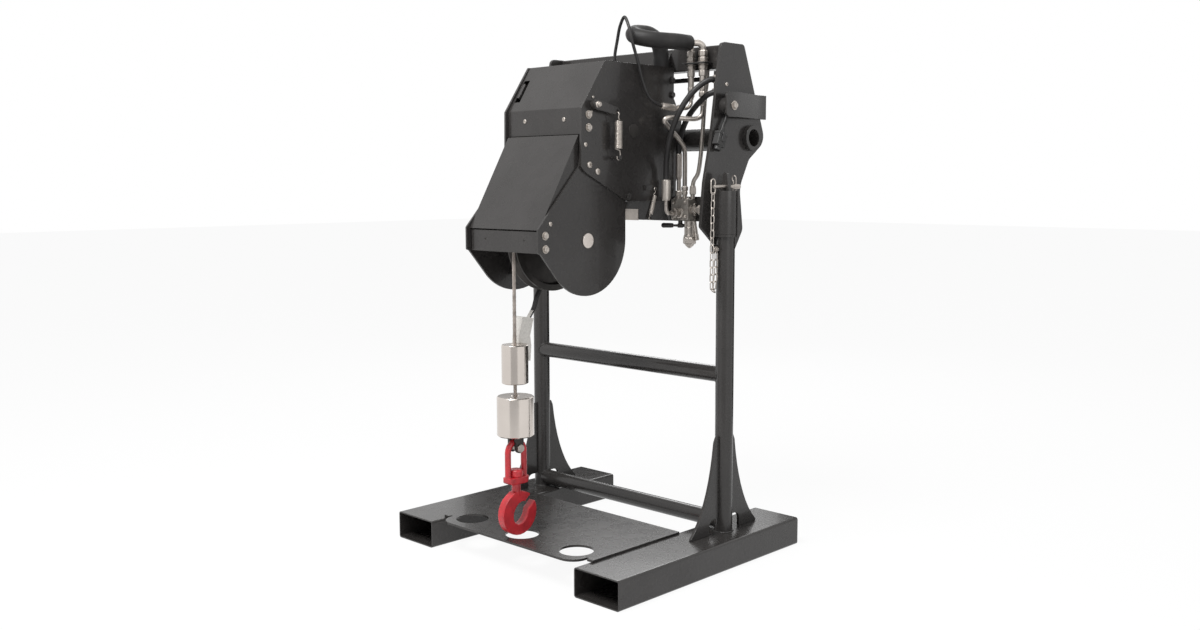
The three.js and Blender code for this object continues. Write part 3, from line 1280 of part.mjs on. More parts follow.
function buildValve() {
  const b = block;
  const rear = lowBeam.front - seatGap;
  const right = blockLeft + b.width;
  const body = brick(blockLeft, right, b.front, rear, b.low, b.low + b.height);
  const fitting = (shares, radius, length, root, axis) => turned(
    shares.map(([a, along]) => [a * radius, along * (length + sink) - sink]), root, axis, smallSides,
  );
  const portRoot = point(blockLeft + b.portInset, b.front, b.portZ);
  const port = fitting(portShares, b.port, b.portLength, portRoot, axisY.clone().negate());
  const sideRoot = point(right, b.sideY, b.sideZ);
  const portRight = fitting(sidePortShares, b.sidePort, b.sideLength, sideRoot, axisX);
  const plugs = [-1, 1].map((step) => {
    const z = b.sideZ + (step * b.plugPitch) / 2;
    return rod(point(right - sink, b.plugY, z), point(right + b.plugOut, b.plugY, z), b.plug, smallSides);
  });
  add('valve_block', join(body, port, portRight, ...plugs), 'zinc');
  const c = cartridge;
  const top = b.low - seatGap;
  const profile = [
    [0, c.tip], [c.hex - c.point, c.hexLow], [c.hex, c.hexLow], [c.hex, c.step], [c.radius, c.step],
    [c.radius, top], [0, top],
  ];
  const x = blockLeft + c.inset;
  const main = turned(profile, point(x, c.y, 0), axisZ, smallSides);
  const sideY = c.y + c.sideBack;
  const second = rod(
    point(x + c.sideOut, sideY, c.step - c.sideDrop), point(x + c.sideOut - c.sideLean, sideY, top), c.side,
    smallSides,
  );
  add('valve_cartridge', join(main, second), 'zinc');
}

function buildDrainHandle() {
  const d = drain;
  const x = blockLeft + d.inset;
  const stub = rod(point(x, d.y, d.top - d.plate), point(x, d.y, block.low - seatGap), d.stub, smallSides);
  const turn = THREE.MathUtils.degToRad(d.turn);
  const outline = filleted([
    [-d.half, d.half, d.corner], [-d.half, -d.half, d.corner], [d.reach, -d.tip, d.tipCorner],
    [d.reach, d.tip, d.tipCorner],
  ], 3)
    .map((p) => p.rotateAround(new THREE.Vector2(0, 0), turn).add(new THREE.Vector2(x, d.y)));
  const arm = flat(outline, d.top - d.plate, d.plate);
  const knob = new THREE.SphereGeometry(d.ball, smallSides, 8)
    .translate(x + d.reach * Math.cos(turn), d.y + d.reach * Math.sin(turn), d.top - d.plate / 2);
  add('drain_handle', join(stub, arm, knob), 'dark');
}

function buildCouplers() {
  const c = coupler;
  const plate = brick(couplerRight - c.width, couplerRight, c.y, c.y + c.plate, c.low, c.low + c.height);
  const bodies = [c.highZ, c.lowZ].map((z) => turned([
    [0, sink], [c.body, sink], [c.body, c.bodyLength], [c.neck, c.bodyLength], [c.neck, c.length],
    [0, c.length],
  ], point(couplerX, c.y, z), axisY, smallSides));
  add('coupler_bracket', join(plate, ...bodies), 'dark');
}

// Clamp bracket with its spacer, and the cable plug that hangs under it
function buildClampBracket() {
  const c = clampBracket;
  const inner = carriage.outer + seatGap;
  const plan = [
    [c.tabX, c.frontY], [c.tabX, c.bendY], [inner + c.sheet, c.footY], [inner + c.sheet, c.rearY],
    [inner, c.rearY], [inner, c.footY - c.bendGain], [c.tabX - c.sheet, c.bendY - c.bendGain],
    [c.tabX - c.sheet, c.frontY],
  ];
  const strip = flat(filleted(plan), c.low, c.high - c.low);
  const silhouette = sideways(filleted([
    [c.frontY, c.low, c.corner], [c.rearY, c.low], [c.rearY, c.high], [c.frontY, c.high, c.corner],
  ]), inner - overrun, 4 * overrun + c.tabX - inner);
  const spacer = rod(
    point(inner, c.spacerY, c.spacerZ), point(c.tabX - sink / 2, c.spacerY, c.spacerZ), c.spacer, midSides,
  );
  add('clamp_bracket', join(common(strip, silhouette), spacer), 'paint');
}

function buildPlug() {
  const p = plug;
  const inner = carriage.outer + seatGap;
  const x = inner + p.depth / 2;
  const body = new THREE.BoxGeometry(p.depth, p.width, p.height);
  const cap = rod(
    point(0, 0, -p.height / 2 - p.capHeight), point(0, 0, sink - p.height / 2), p.cap, smallSides,
  );
  const lean = THREE.MathUtils.degToRad(p.lean);
  const shell = join(body, cap).rotateX(-lean).translate(x, p.y, p.z);
  const c = clampBracket;
  const root = p.rootShare * p.height;
  const top = point(x, p.y + root * Math.sin(lean), p.z + root * Math.cos(lean));
  const cable = tube([
    top, point(x, top.y + 8, top.z + 16), point(x, c.spacerY - 1, c.spacerZ - c.spacer - 16),
    point(x, c.spacerY, c.spacerZ - c.spacer - 8),
    point(x, c.spacerY, c.spacerZ - c.spacer - seatGap),
  ], p.cable, 8, 8);
  add('cable_plug', join(shell, cable), 'rubber');
}

// Lock pins, their spring clips and the chain
function buildLockPins() {
  const p = lockPin;
  const length = p.rear - p.front;
  const collarFrom = length - p.collarLength;
  const profile = [
    [0, 0], [p.radius - p.nose, 0], [p.radius, p.noseLength], [p.radius, collarFrom],
    [p.collarRadius, collarFrom + p.shoulder],
    [p.collarRadius, length], [0, length],
  ];
  const shaft = turned(profile, point(stand.postX, p.front, p.z), axisY, smallSides);
  const holeAt = (y, radius) => rod(
    point(stand.postX, y, p.z - overrun), point(stand.postX, y, p.z + overrun), radius, 8,
  );
  const pin = cut(
    shaft, holeAt(p.rear - p.clipInset, p.clipHole), holeAt(p.front + p.linkInset, p.linkHole),
  );
  addPair('lock_pin', pin, 'zinc');
}

function buildClips() {
  const c = clip;
  const y = lockPin.rear - lockPin.clipInset;
  const points = clipShares.map(([a, b]) => point(stand.postX + a * c.loop, y, lockPin.z + b * c.height));
  const path = new THREE.CatmullRomCurve3(points, false, 'centripetal').getPoints(26);
  addPair('r_clip', sweep(path, c.wire, wireSides), 'zinc');
}

// A stretched ring: half its corners are moved up and half down, which leaves straight sides
function chainLink(bend, straight, wire) {
  const ring = new THREE.TorusGeometry(bend, wire, linkSides, linkSteps).rotateZ(Math.PI / linkSteps);
  const places = ring.attributes.position;
  for (let i = 0; i < places.count; i += 1) {
    places.setY(i, places.getY(i) + straight * Math.sign(places.getY(i)));
  }
  return ring;
}

function chainRoute() {
  const firstY = lockPin.front + lockPin.linkInset - chain.longBend;
  const top = lockPin.z - chain.longStraight - chain.longBend + chain.wire + chain.play;
  const boltY = chainLug.frontY + chainLug.bolt * 2;
  return new THREE.CatmullRomCurve3([
    point(stand.postX, firstY, top), point(stand.postX, firstY - 3, 1150),
    point(stand.postX - 1, firstY - 3, 1000),
    point(stand.postX - 4, firstY + 2, 966), point(stand.postX - 8, firstY + 16, 957),
    point(stand.postX - 11, boltY - 6, 968), point(chainLug.x + 14, boltY - 3, 1000),
    point(chainLug.x + 15, boltY, chainLug.boltZ - chainLug.bolt - 6),
  ]);
}

function buildChain() {
  const c = chain;
  const route = chainRoute();
  const pitch = 2 * (c.bend + c.straight - c.wire) + c.bite;
  const count = Math.floor(route.getLength() / pitch);
  const long = chainLink(c.longBend, c.longStraight, c.longWire)
    .applyMatrix4(new THREE.Matrix4().makeBasis(axisY, axisZ, axisX))
    .translate(stand.postX, lockPin.front + lockPin.linkInset - c.longBend, lockPin.z);
  let whole = solidOf(long);
  for (let i = 0; i < count; i += 1) {
    const along = (i + 0.5) / count;
    const here = route.getPointAt(along);
    const heading = route.getTangentAt(along);
    const side = new THREE.Vector3().crossVectors(heading, i % 2 === 0 ? axisX : axisY);
    if (side.length() < 0.2) side.crossVectors(heading, axisZ);
    side.normalize();
    const third = new THREE.Vector3().crossVectors(side, heading);
    const turn = new THREE.Matrix4().makeBasis(side, heading, third);
    const link = chainLink(c.bend, c.straight, c.wire).applyMatrix4(turn).translate(here.x, here.y, here.z);
    whole = whole.add(solidOf(link));
  }
  add('lock_chain', geometryOf(whole), 'zinc');
}

buildSkids();
buildFloorPlate();
buildPosts();
buildCrossbars();
buildGussets();
buildCarriagePlates();
buildBeams();
buildDrumPlates();
buildHeadPlates();
buildBoxShell();
buildUpperCover();
buildLatch();
buildNoseCover();
buildNoseBand();
buildDrum();
buildSheave();
buildRope();
buildWeights();
buildClevis();
buildBail();
buildHook();
buildLimitLine();
buildLever();
buildSprings();
buildBulkhead();
buildSleeveHose();
buildThinHose();
buildHoseA();
buildHoseB();
buildPipes();
buildValve();
buildDrainHandle();
buildCouplers();
buildClampBracket();
buildPlug();
buildLockPins();
buildClips();
buildChain();

export default winch;
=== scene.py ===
import math

import bpy
from mathutils import Matrix, Vector


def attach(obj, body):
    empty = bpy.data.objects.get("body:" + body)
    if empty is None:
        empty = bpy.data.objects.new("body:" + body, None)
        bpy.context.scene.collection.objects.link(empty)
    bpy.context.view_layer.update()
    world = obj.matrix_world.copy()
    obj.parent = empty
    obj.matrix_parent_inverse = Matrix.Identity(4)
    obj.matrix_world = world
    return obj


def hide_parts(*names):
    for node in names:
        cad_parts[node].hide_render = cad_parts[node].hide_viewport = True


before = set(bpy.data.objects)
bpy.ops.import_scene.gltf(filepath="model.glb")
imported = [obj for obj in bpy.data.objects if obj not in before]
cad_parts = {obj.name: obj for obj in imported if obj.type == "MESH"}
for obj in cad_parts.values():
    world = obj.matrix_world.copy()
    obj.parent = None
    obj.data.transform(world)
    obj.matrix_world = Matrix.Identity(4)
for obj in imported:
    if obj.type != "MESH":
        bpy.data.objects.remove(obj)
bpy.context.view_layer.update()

bl_info = {
    "name": "Hydraulic winch on its stand",
    "version": (1, 0, 0),
    "blender": (4, 5, 0),
    "location": "3D View > Sidebar > Winch",
    "description": "Builds the looks of a telehandler winch over its CAD frame",
    "category": "Object",
}

MM = 0.001
X = Vector((1, 0, 0))
Y = Vector((0, 1, 0))
Z = Vector((0, 0, 1))
FRONT = Vector((0, -1, 0))
DOWN = Vector((0, 0, -1))

# Sizes and places of the frame that the pieces follow, in millimetres. A pair is (y, z)
POST_X = 468.3
POST_Y = 164.6
POST_RADIUS = 31.75
BAR_RADIUS = 29
BAR_HEIGHTS = (136, 659)
CROSS_TUBE = (349, 1484)
CROSS_TUBE_RADIUS = 42
CARRIAGE_INNER = 417
CARRIAGE_OUTER = 429
BOX_HALF = 194
HEAD_HALF = 184.7
PIN_Z = 1313
SHEAVE = (-227, 1132.5)
SHEAVE_PITCH = 169
DRUM = (-6, 1506)
DRUM_PITCH = 127.2
FALL_Y = -396
ROPE_END = 545
CLEVIS_Z = 419.7
LEVER_PIVOT = (-209, 1587)
LEVER_TIP = (-115, 1568)

# Sizes that a user can change, as they are at first, in millimetres
EDGE = 1.2
BEAD = 3.0
ROPE_LAY = 80


# Colour and materials

# A noise seldom leaves this span, so it is stretched over the range of roughness
NOISE_SPAN = (0.3, 0.7)
# At scale 1 a wave texture repeats about each 0.314 units
WAVE_SHARE = 0.314


def linear(code):
    """An sRGB hex colour as the linear RGBA that a shader takes."""
    parts = [int(code[i:i + 2], 16) / 255 for i in (1, 3, 5)]
    return tuple(p / 12.92 if p <= 0.04045 else ((p + 0.055) / 1.055) ** 2.4 for p in parts) + (1,)


def shade(code, share):
    """A hex colour made lighter or darker by a share."""
    parts = [min(255, round(int(code[i:i + 2], 16) * share)) for i in (1, 3, 5)]
    return "#" + "".join(f"{p:02x}" for p in parts)


def hex_of(colour):
    """A colour property, which is already sRGB, as a hex code."""
    return "#" + "".join(f"{round(255 * c):02x}" for c in colour[:3])


def per_mm(size):
    """The pattern scale whose patches are about that many millimetres across."""
    return 1 / (size * MM)


def add_node(owner, kind, settings=None, links=None, feeds=None):
    """Adds a node with its settings, then joins it: links holds its inputs, feeds its outputs."""
    node = owner.node_tree.nodes.new(kind)
    for name, value in (settings or {}).items():
        if name == "stops":
            for stop, (position, code) in zip(node.color_ramp.elements, value):
                stop.position = position
                stop.color = linear(code)
        elif isinstance(name, int) or name in node.inputs:
            node.inputs[name].default_value = value
        else:
            setattr(node, name, value)
    for name, (source, output) in (links or {}).items():
        owner.node_tree.links.new(source.outputs[output], node.inputs[name])
    for output, (target, name) in (feeds or {}).items():
        owner.node_tree.links.new(node.outputs[output], target.inputs[name])
    return node


def new_material(name, **values):
    """A material with its shader's own sockets set."""
    material = bpy.data.materials.new(name)
    material.use_nodes = True
    shader = material.node_tree.nodes["Principled BSDF"]
    for key, value in values.items():
        shader.inputs[key.replace("_", " ")].default_value = value
    return material, shader


def lathe_rings(material, place):
    """Rings of the lathe's feed up a turned piece, each even along its way round."""
    stretch = {"Scale": (per_mm(150), per_mm(150), per_mm(1.5))}
    feed = (add_node(material, "ShaderNodeMapping", stretch, {"Vector": place}), "Vector")
    return add_node(material, "ShaderNodeTexNoise", {"Scale": 1, "Detail": 0}, {"Vector": feed}), "Fac"


def crossed_threads(material, place):
    """Small squares where two ways of thread cross."""
    threads = {}
    for socket, direction in enumerate(("DIAGONAL", "Z")):
        bands = {"Scale": WAVE_SHARE * per_mm(4), "bands_direction": direction}
        threads[socket] = (add_node(material, "ShaderNodeTexWave", bands, {"Vector": place}), "Fac")
    return add_node(material, "ShaderNodeMath", {"operation": "MULTIPLY"}, threads), "Value"


def spangle(material, place):
    """The crystals of a hot dip zinc bath."""
    return add_node(material, "ShaderNodeTexVoronoi", {"Scale": per_mm(6)}, {"Vector": place}), "Distance"


def lay_finish(name, tint, gloss, relief, **sockets):
    """A material with its shader's sockets set and three layers: its tint, its roughness and its relief.

    Each layer starts with its pattern, as (patch size in millimetres, detail) for a noise or as the
    function that lays it. After it tint has two colour stops, gloss the least and the most roughness,
    and relief the strength of the bump and its height in millimetres."""
    material, shader = new_material(name, **sockets)
    place = (add_node(material, "ShaderNodeTexCoord"), "Object")
    patterns = []
    for pattern in (tint[0], gloss[0], relief[0]):
        if callable(pattern):
            patterns.append(pattern(material, place))
        else:
            size, detail = pattern
            noise = {"Scale": per_mm(size), "Detail": detail}
            patterns.append((add_node(material, "ShaderNodeTexNoise", noise, {"Vector": place}), "Fac"))
    add_node(
        material, "ShaderNodeValToRGB", {"stops": tint[1:]},
        {"Fac": patterns[0]}, {"Color": (shader, "Base Color")},
    )
    low, high = NOISE_SPAN
    add_node(
        material, "ShaderNodeMapRange",
        {"From Min": low, "From Max": high, "To Min": gloss[1], "To Max": gloss[2]},
        {"Value": patterns[1]}, {"Result": (shader, "Roughness")},
    )
    add_node(
        material, "ShaderNodeBump", {"Strength": relief[1], "Distance": relief[2] * MM},
        {"Height": patterns[2]}, {"Normal": (shader, "Normal")},
    )
    return material


finishes = {}


def make_finishes(colours):
    """Every finish of the winch. The two colours that a user can change come from the panel."""
    paint = hex_of(colours.paint)
    red = hex_of(colours.hook)
    finishes.update({
        # Powder coat on mild steel: satin, near black and slightly warm. The powder melts into an
        # orange peel of about 2 mm, drawn at 9 mm and faint, and handling dulls it in patches.
        "paint": lay_finish(
            "charcoal_powder_coat", ((160, 3), (0.35, paint), (0.65, shade(paint, 1.14))),
            ((40, 4), 0.25, 0.3), ((9, 0), 0.02, 0.1),
            IOR=1.5, Specular_IOR_Level=0.34, Coat_Weight=0.2, Coat_Roughness=0.06,
        ),
        # Painted weld bead: the coat of the plates over 2.5 mm ripples that catch small lights.
        "weld": lay_finish(
            "painted_weld_bead", ((9, 3), (0.35, "#262524"), (0.65, "#343231")), ((5, 4), 0.3, 0.45),
            ((2.5, 2), 0.4, 0.4), IOR=1.5, Specular_IOR_Level=0.4,
        ),
        # Phosphated and oiled steel of the drum, sheave and motor: dark and half shiny, with patches
        # of oil some 60 mm across and the 3 mm grain of its casting skin.
        "dark": lay_finish(
            "oiled_phosphated_steel", ((60, 3), (0.35, "#33312f"), (0.65, "#454240")),
            ((18, 4), 0.34, 0.54), ((3, 3), 0.18, 0.3), Metallic=0.55,
        ),
        # Mild steel finished on the lathe and plated: bright and smooth. The feed leaves rings 0.4 mm
        # apart, drawn at 1.5 mm, so faint that they only soften the reflections.
        "steel": lay_finish(
            "turned_bright_steel", ((90, 2), (0.3, "#cfc7c0"), (0.7, "#d5cdc6")),
            (lathe_rings, 0.17, 0.2), (lathe_rings, 0.02, 0.05), Metallic=1.0,
        ),
        # Bright zinc plate on screws, fittings and springs: pale warm grey, with a cloudy bloom of
        # about 8 mm.
        "zinc": lay_finish(
            "zinc_plated_steel", ((8, 3), (0.3, "#aca59e"), (0.7, "#bab3ac")), ((12, 2), 0.35, 0.42),
            ((1.2, 2), 0.03, 0.05), Metallic=0.8,
        ),
        # Thick passivated zinc on the valve block: greyer and rougher than the screws, with 14 mm
        # clouds from the bath.
        "block": lay_finish(
            "passivated_zinc", ((14, 3), (0.35, "#8d8882"), (0.65, "#9a958f")), ((6, 4), 0.34, 0.5),
            ((1.5, 2), 0.12, 0.12), Metallic=0.5,
        ),
        # Hot dip galvanised casting of the rope clamp: pale, with a coarse spangle of about 6 mm.
        "wedge": lay_finish(
            "galvanised_casting", (spangle, (0.0, "#d8d5d0"), (1.0, "#c3c0bb")), ((6, 4), 0.38, 0.52),
            (spangle, 0.12, 0.2), Metallic=0.5,
        ),
        # Drawn and galvanised steel wire, laid up in strands: bright crowns, grease that darkens it in
        # patches of 30 mm, and wires of 0.9 mm that show as a fine grain on each strand.
        "rope": lay_finish(
            "galvanised_wire_strand", ((30, 3), (0.35, "#8f8781"), (0.65, "#b6ada6")),
            ((4, 4), 0.3, 0.5), ((0.9, 1), 0.35, 0.15), Metallic=0.85,
        ),
        # Wrapped and cured synthetic rubber of the hydraulic hoses: black and half matt, with the
        # cloth print of the curing wrap, 2 mm apart, left in its skin.
        "rubber": lay_finish(
            "wrapped_hose_rubber", ((50, 3), (0.35, "#181717"), (0.65, "#222020")),
            ((20, 4), 0.42, 0.58), ((2, 1), 0.2, 0.2), IOR=1.5, Specular_IOR_Level=0.4,
        ),
        # Woven nylon sleeve over the pair of hoses: threads cross 2 mm apart, drawn at 4 mm and more,
        # as small squares with a soft sheen along their crowns.
        "sleeve": lay_finish(
            "woven_nylon_sleeve", ((70, 3), (0.35, "#171616"), (0.65, "#232120")),
            ((25, 4), 0.46, 0.62), (crossed_threads, 0.5, 0.5),
            IOR=1.5, Specular_IOR_Level=0.3, Sheen_Weight=0.1, Sheen_Roughness=0.4,
        ),
        # Glass filled nylon, injection moulded, of the plug, the switch and the lever's grip: black
        # and even, with a fine 1 mm grain from the mould.
        "nylon": lay_finish(
            "moulded_black_nylon", ((25, 3), (0.35, "#1b1a1a"), (0.65, "#232221")),
            ((10, 4), 0.42, 0.55), ((1, 2), 0.25, 0.15), IOR=1.53,
        ),
        # Stoved red enamel on a steel forging: an even gloss over the 6 mm hammer skin of the forging.
        "red": lay_finish(
            "red_stoved_enamel", ((35, 3), (0.35, shade(red, 0.86)), (0.65, red)), ((12, 4), 0.32, 0.44),
            ((6, 3), 0.18, 0.4), IOR=1.5, Coat_Weight=0.2, Coat_Roughness=0.15,
        ),
    })


# Modelling steps

def mm(x, y, z):
    return Vector((x, y, z)) * MM


def pick(*pieces):
    """Object mode, with these pieces and no others selected."""
    if bpy.context.mode != "OBJECT":
        bpy.ops.object.mode_set(mode="OBJECT")
    bpy.ops.object.select_all(action="DESELECT")
    for piece in pieces:
        piece.select_set(True)
    if pieces:
        bpy.context.view_layer.objects.active = pieces[-1]


def added(name, data):
    """A new object in the scene for a mesh or curve."""
    piece = bpy.data.objects.new(name, data)
    bpy.context.scene.collection.objects.link(piece)
    return piece


def close_shape(piece, reach=0.01, flatten=False):
    """Joins doubled corners, on request also flat faces, and turns every face outwards."""
    pick(piece)
    bpy.ops.object.mode_set(mode="EDIT")
    bpy.ops.mesh.select_all(action="SELECT")
    bpy.ops.mesh.remove_doubles(threshold=reach * MM)
    if flatten:
        bpy.ops.mesh.dissolve_limited(angle_limit=math.radians(1.0), delimit=set())
    bpy.ops.mesh.normals_make_consistent(inside=False)
    bpy.ops.object.mode_set(mode="OBJECT")


def apply(piece, kind, **settings):
    """Adds a modifier with its settings and applies it."""
    pick(piece)
    modifier = piece.modifiers.new(kind.lower(), kind)
    for name, value in settings.items():
        setattr(modifier, name, value)
    bpy.ops.object.modifier_apply(modifier=modifier.name)


def round_edges(piece, width, segments=2, angle=38):
    """A small bevel on every crisp edge, then shading that stays flat on the flats."""
    apply(
        piece, "BEVEL", width=width * MM, segments=segments, limit_method="ANGLE",
        angle_limit=math.radians(angle), use_clamp_overlap=True, miter_outer="MITER_ARC",
    )
    smooth(piece)


def smooth(piece, angle=32):
    pick(piece)
    bpy.ops.object.shade_smooth_by_angle(angle=math.radians(angle))
    apply(piece, "WEIGHTED_NORMAL", keep_sharp=True, weight=80)


def keep(piece, name, finish, body="frame", stands_for=()):
    """Names a finished piece, gives it its finish, sets it at the origin and lets it ride."""
    pick(piece)
    bpy.ops.object.transform_apply(location=True, rotation=True, scale=True)
    piece.name = name
    piece.data.name = name
    if finish:
        piece.data.materials.clear()
        piece.data.materials.append(finishes[finish])
    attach(piece, body)
    if stands_for:
        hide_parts(*stands_for)
    return piece


def mesh_copy(node):
    """A copy of a CAD mesh with its corners joined and its flat faces whole."""
    piece = added("copy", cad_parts[node].data.copy())
    pick(piece)
    bpy.ops.mesh.customdata_custom_splitnormals_clear()
    close_shape(piece, 0.02, True)
    return piece


def edged(node, width, finish, body="frame"):
    """The CAD shape with rolled or ground edges instead of knife edges."""
    piece = mesh_copy(node)
    round_edges(piece, width)
    return keep(piece, node + "_edged", finish, body, [node])


def forged(node, grain, rounds, finish, body):
    """The CAD shape as a forging: one skin with its corners worn round."""
    piece = mesh_copy(node)
    apply(piece, "REMESH", mode="VOXEL", voxel_size=grain * MM)
    apply(piece, "SMOOTH", factor=0.5, iterations=rounds)
    pick(piece)
    bpy.ops.object.shade_smooth()
    return keep(piece, node + "_forged", finish, body, [node])


def turning(base, axis, rings, sides):
    """A turned piece: a disc at base, pushed along axis and resized ring by ring.

    rings holds (radius, distance along the axis). Where the last ring is the first again the piece is a
    closed ring with a bore."""
    hollow = rings[0] == rings[-1]
    axis = Vector(axis).normalized()
    pick()
    bpy.ops.mesh.primitive_circle_add(
        vertices=sides, radius=rings[0][0] * MM, fill_type="NOTHING" if hollow else "NGON",
        location=mm(*base) + axis * rings[0][1] * MM, rotation=axis.to_track_quat("Z", "Y").to_euler(),
    )
    piece = bpy.context.object
    bpy.ops.object.transform_apply(location=True, rotation=True, scale=True)
    bpy.ops.object.mode_set(mode="EDIT")
    bpy.ops.mesh.select_all(action="SELECT")
    push = bpy.ops.mesh.extrude_edges_move if hollow else bpy.ops.mesh.extrude_region_move
    for (last_radius, last_along), (radius, along) in zip(rings, rings[1:]):
        push(TRANSFORM_OT_translate={"value": axis * (along - last_along) * MM})
        if radius != last_radius:
            size = radius / last_radius
            middle = mm(*base) + axis * along * MM
            bpy.ops.transform.resize(value=(size, size, size), center_override=middle)
    bpy.ops.object.mode_set(mode="OBJECT")
    close_shape(piece)
    return piece


def round_turning(base, axis, rings, sides, edge):
    """A turned piece with its corners broken."""
    piece = turning(base, axis, rings, sides)
    round_edges(piece, edge, 2, 40)
    return piece


def block(low, high, edge, segments=3):
    """A squared block between two corners, its edges broken."""
    low, high = mm(*low), mm(*high)
    pick()
    bpy.ops.mesh.primitive_cube_add(size=1, location=(low + high) / 2)
    piece = bpy.context.object
    bpy.ops.transform.resize(value=high - low, center_override=(low + high) / 2)
    bpy.ops.object.transform_apply(location=True, rotation=True, scale=True)
    round_edges(piece, edge, segments)
    return piece


def tapered(piece, reach, share, depth):
    """Draws in the last depth of a block that reaches that far along +X, to a share of its width and
    height."""
    pick(piece)
    bpy.ops.object.mode_set(mode="EDIT")
    bpy.ops.mesh.select_all(action="DESELECT")
    bpy.ops.object.mode_set(mode="OBJECT")
    for vertex in piece.data.vertices:
        vertex.select = vertex.co.x > (reach - depth) * MM
    bpy.ops.object.mode_set(mode="EDIT")
    bpy.ops.transform.resize(value=(1, share, share), center_override=(reach * MM, 0, 0))
    bpy.ops.object.mode_set(mode="OBJECT")


def smooth_path(points, spacing):
    """Points along the curve that the frame's hoses follow, through the given places in millimetres."""
    pts = [mm(*p) for p in points]
    pts = [2 * pts[0] - pts[1]] + pts + [2 * pts[-1] - pts[-2]]
    path = []
    for p0, p1, p2, p3 in zip(pts, pts[1:], pts[2:], pts[3:]):
        d0, d1, d2 = [max((b - a).length, 1e-9) ** 0.5 for a, b in ((p0, p1), (p1, p2), (p2, p3))]
        t1 = ((p1 - p0) / d0 - (p2 - p0) / (d0 + d1) + (p2 - p1) / d1) * d1
        t2 = ((p2 - p1) / d1 - (p3 - p1) / (d1 + d2) + (p3 - p2) / d2) * d1
        count = max(1, math.ceil((p2 - p1).length / (spacing * MM)))
        for k in range(count):
            u = k / count
            path.append(
                p1 * (2 * u ** 3 - 3 * u ** 2 + 1) + t1 * (u ** 3 - 2 * u ** 2 + u)
                + p2 * (3 * u ** 2 - 2 * u ** 3) + t2 * (u ** 3 - u ** 2)
            )
    path.append(pts[-2])
    return path


def tube(points, radius, sides, closed=False, swell=None):
    """A round bar or hose along a path, its ends closed. swell gives a radius share for each point."""
    curve = bpy.data.curves.new("tube", "CURVE")
    curve.dimensions = "3D"
    line = curve.splines.new("POLY")
    line.points.add(len(points) - 1)
    for i, place in enumerate(points):
        line.points[i].co = (*place, 1)
        line.points[i].radius = swell[i] if swell else 1
    line.use_cyclic_u = closed
    line.use_smooth = True
    curve.bevel_depth = radius * MM
    curve.bevel_resolution = (sides - 4) // 2
    curve.use_fill_caps = not closed
    pick(added("tube", curve))
    bpy.ops.object.convert(target="MESH")
    piece = bpy.context.object
    close_shape(piece, 0.001)
    bpy.ops.object.shade_smooth_by_angle(angle=math.radians(50))
    return piece


def hose(points, radius, sides, spacing=5.0):
    """A tube on the smooth curve through places in millimetres."""
    return tube(smooth_path(points, spacing), radius, sides)


def joined(pieces):
    """Several parts of one piece as one mesh."""
    pick(*pieces)
    bpy.ops.object.join()
    return bpy.context.object


def copied(template, move):
    """A copy of a piece with its own mesh, moved by a matrix."""
    piece = added("copy", template.data.copy())
    piece.data.transform(move)
    return piece


def aimed(point, direction):
    """The matrix that takes a piece modelled at the origin along +Z to a place and a direction."""
    turn = Vector(direction).normalized().to_track_quat("Z", "Y").to_matrix().to_4x4()
    return Matrix.Translation(mm(*point)) @ turn


def fasten(template, *groups):
    """Sets out copies of a fastener, which then goes. A group is a piece: its name, its finish, and the
    (point, direction) of each copy."""
    for name, finish, places in groups:
        keep(joined([copied(template, aimed(*place)) for place in places]), name, finish)
    bpy.data.objects.remove(template)


def hex_screw(across, height, washer, thickness):
    """Washer and hexagon head with its corners chamfered and a dished top, standing on the origin."""
    head = turning((0, 0, 0), Z, [
        (across, thickness), (across, thickness + height * 0.8), (across * 0.86, thickness + height),
        (across * 0.52, thickness + height), (across * 0.45, thickness + height * 0.88),
    ], 6)
    round_edges(head, 0.35, 2, 25)
    disc = round_turning((0, 0, 0), Z, [(washer, 0), (washer, thickness)], 32, 0.5)
    return joined([head, disc])


def dome_screw(radius, height):
    """A round head with a round socket."""
    head = turning((0, 0, 0), Z, [
        (radius, 0), (radius, height * 0.25), (radius * 0.94, height * 0.6),
        (radius * 0.74, height * 0.88), (radius * 0.45, height), (radius * 0.4, height * 0.98),
        (radius * 0.38, height * 0.45),
    ], 24)
    pick(head)
    bpy.ops.object.shade_smooth_by_angle(angle=math.radians(35))
    return head


def coil(start, end, radius, turns, steps=20):
    """Points of a helix between two places."""
    low, high = mm(*start), mm(*end)
    along = (high - low).normalized()
    side = along.cross(X).normalized()
    front = side.cross(along)
    count = int(turns * steps)
    path = []
    for i in range(count + 1):
        angle = 2 * math.pi * i / steps
        out = side * math.cos(angle) + front * math.sin(angle)
        path.append(low + (high - low) * (i / count) + out * radius * MM)
    return path


def arc_points(centre, radius, start, stop, count, plane="YZ"):
    """Places on an arc, in degrees, in the YZ or XY plane."""
    path = []
    for i in range(count + 1):
        angle = math.radians(start + (stop - start) * i / count)
        u, v = radius * math.cos(angle), radius * math.sin(angle)
        step = (0, u, v) if plane == "YZ" else (u, v, 0)
        path.append(tuple(c + s for c, s in zip(centre, step)))
    return path


# Sizes and colours a user changes

class WinchSizes(bpy.types.PropertyGroup):
    edge: bpy.props.FloatProperty(
        name="Plate edge", description="Width of the broken edge on cut plates", default=EDGE * MM,
        min=0.0, unit="LENGTH", precision=4,
    )
    bead: bpy.props.FloatProperty(
        name="Weld bead", description="Radius of the weld beads", default=BEAD * MM, min=0.0,
        unit="LENGTH", precision=4,
    )
    lay: bpy.props.FloatProperty(
        name="Rope lay", description="Length of one turn of the rope's strands", default=ROPE_LAY * MM,
        min=0.02, unit="LENGTH", precision=3,
    )


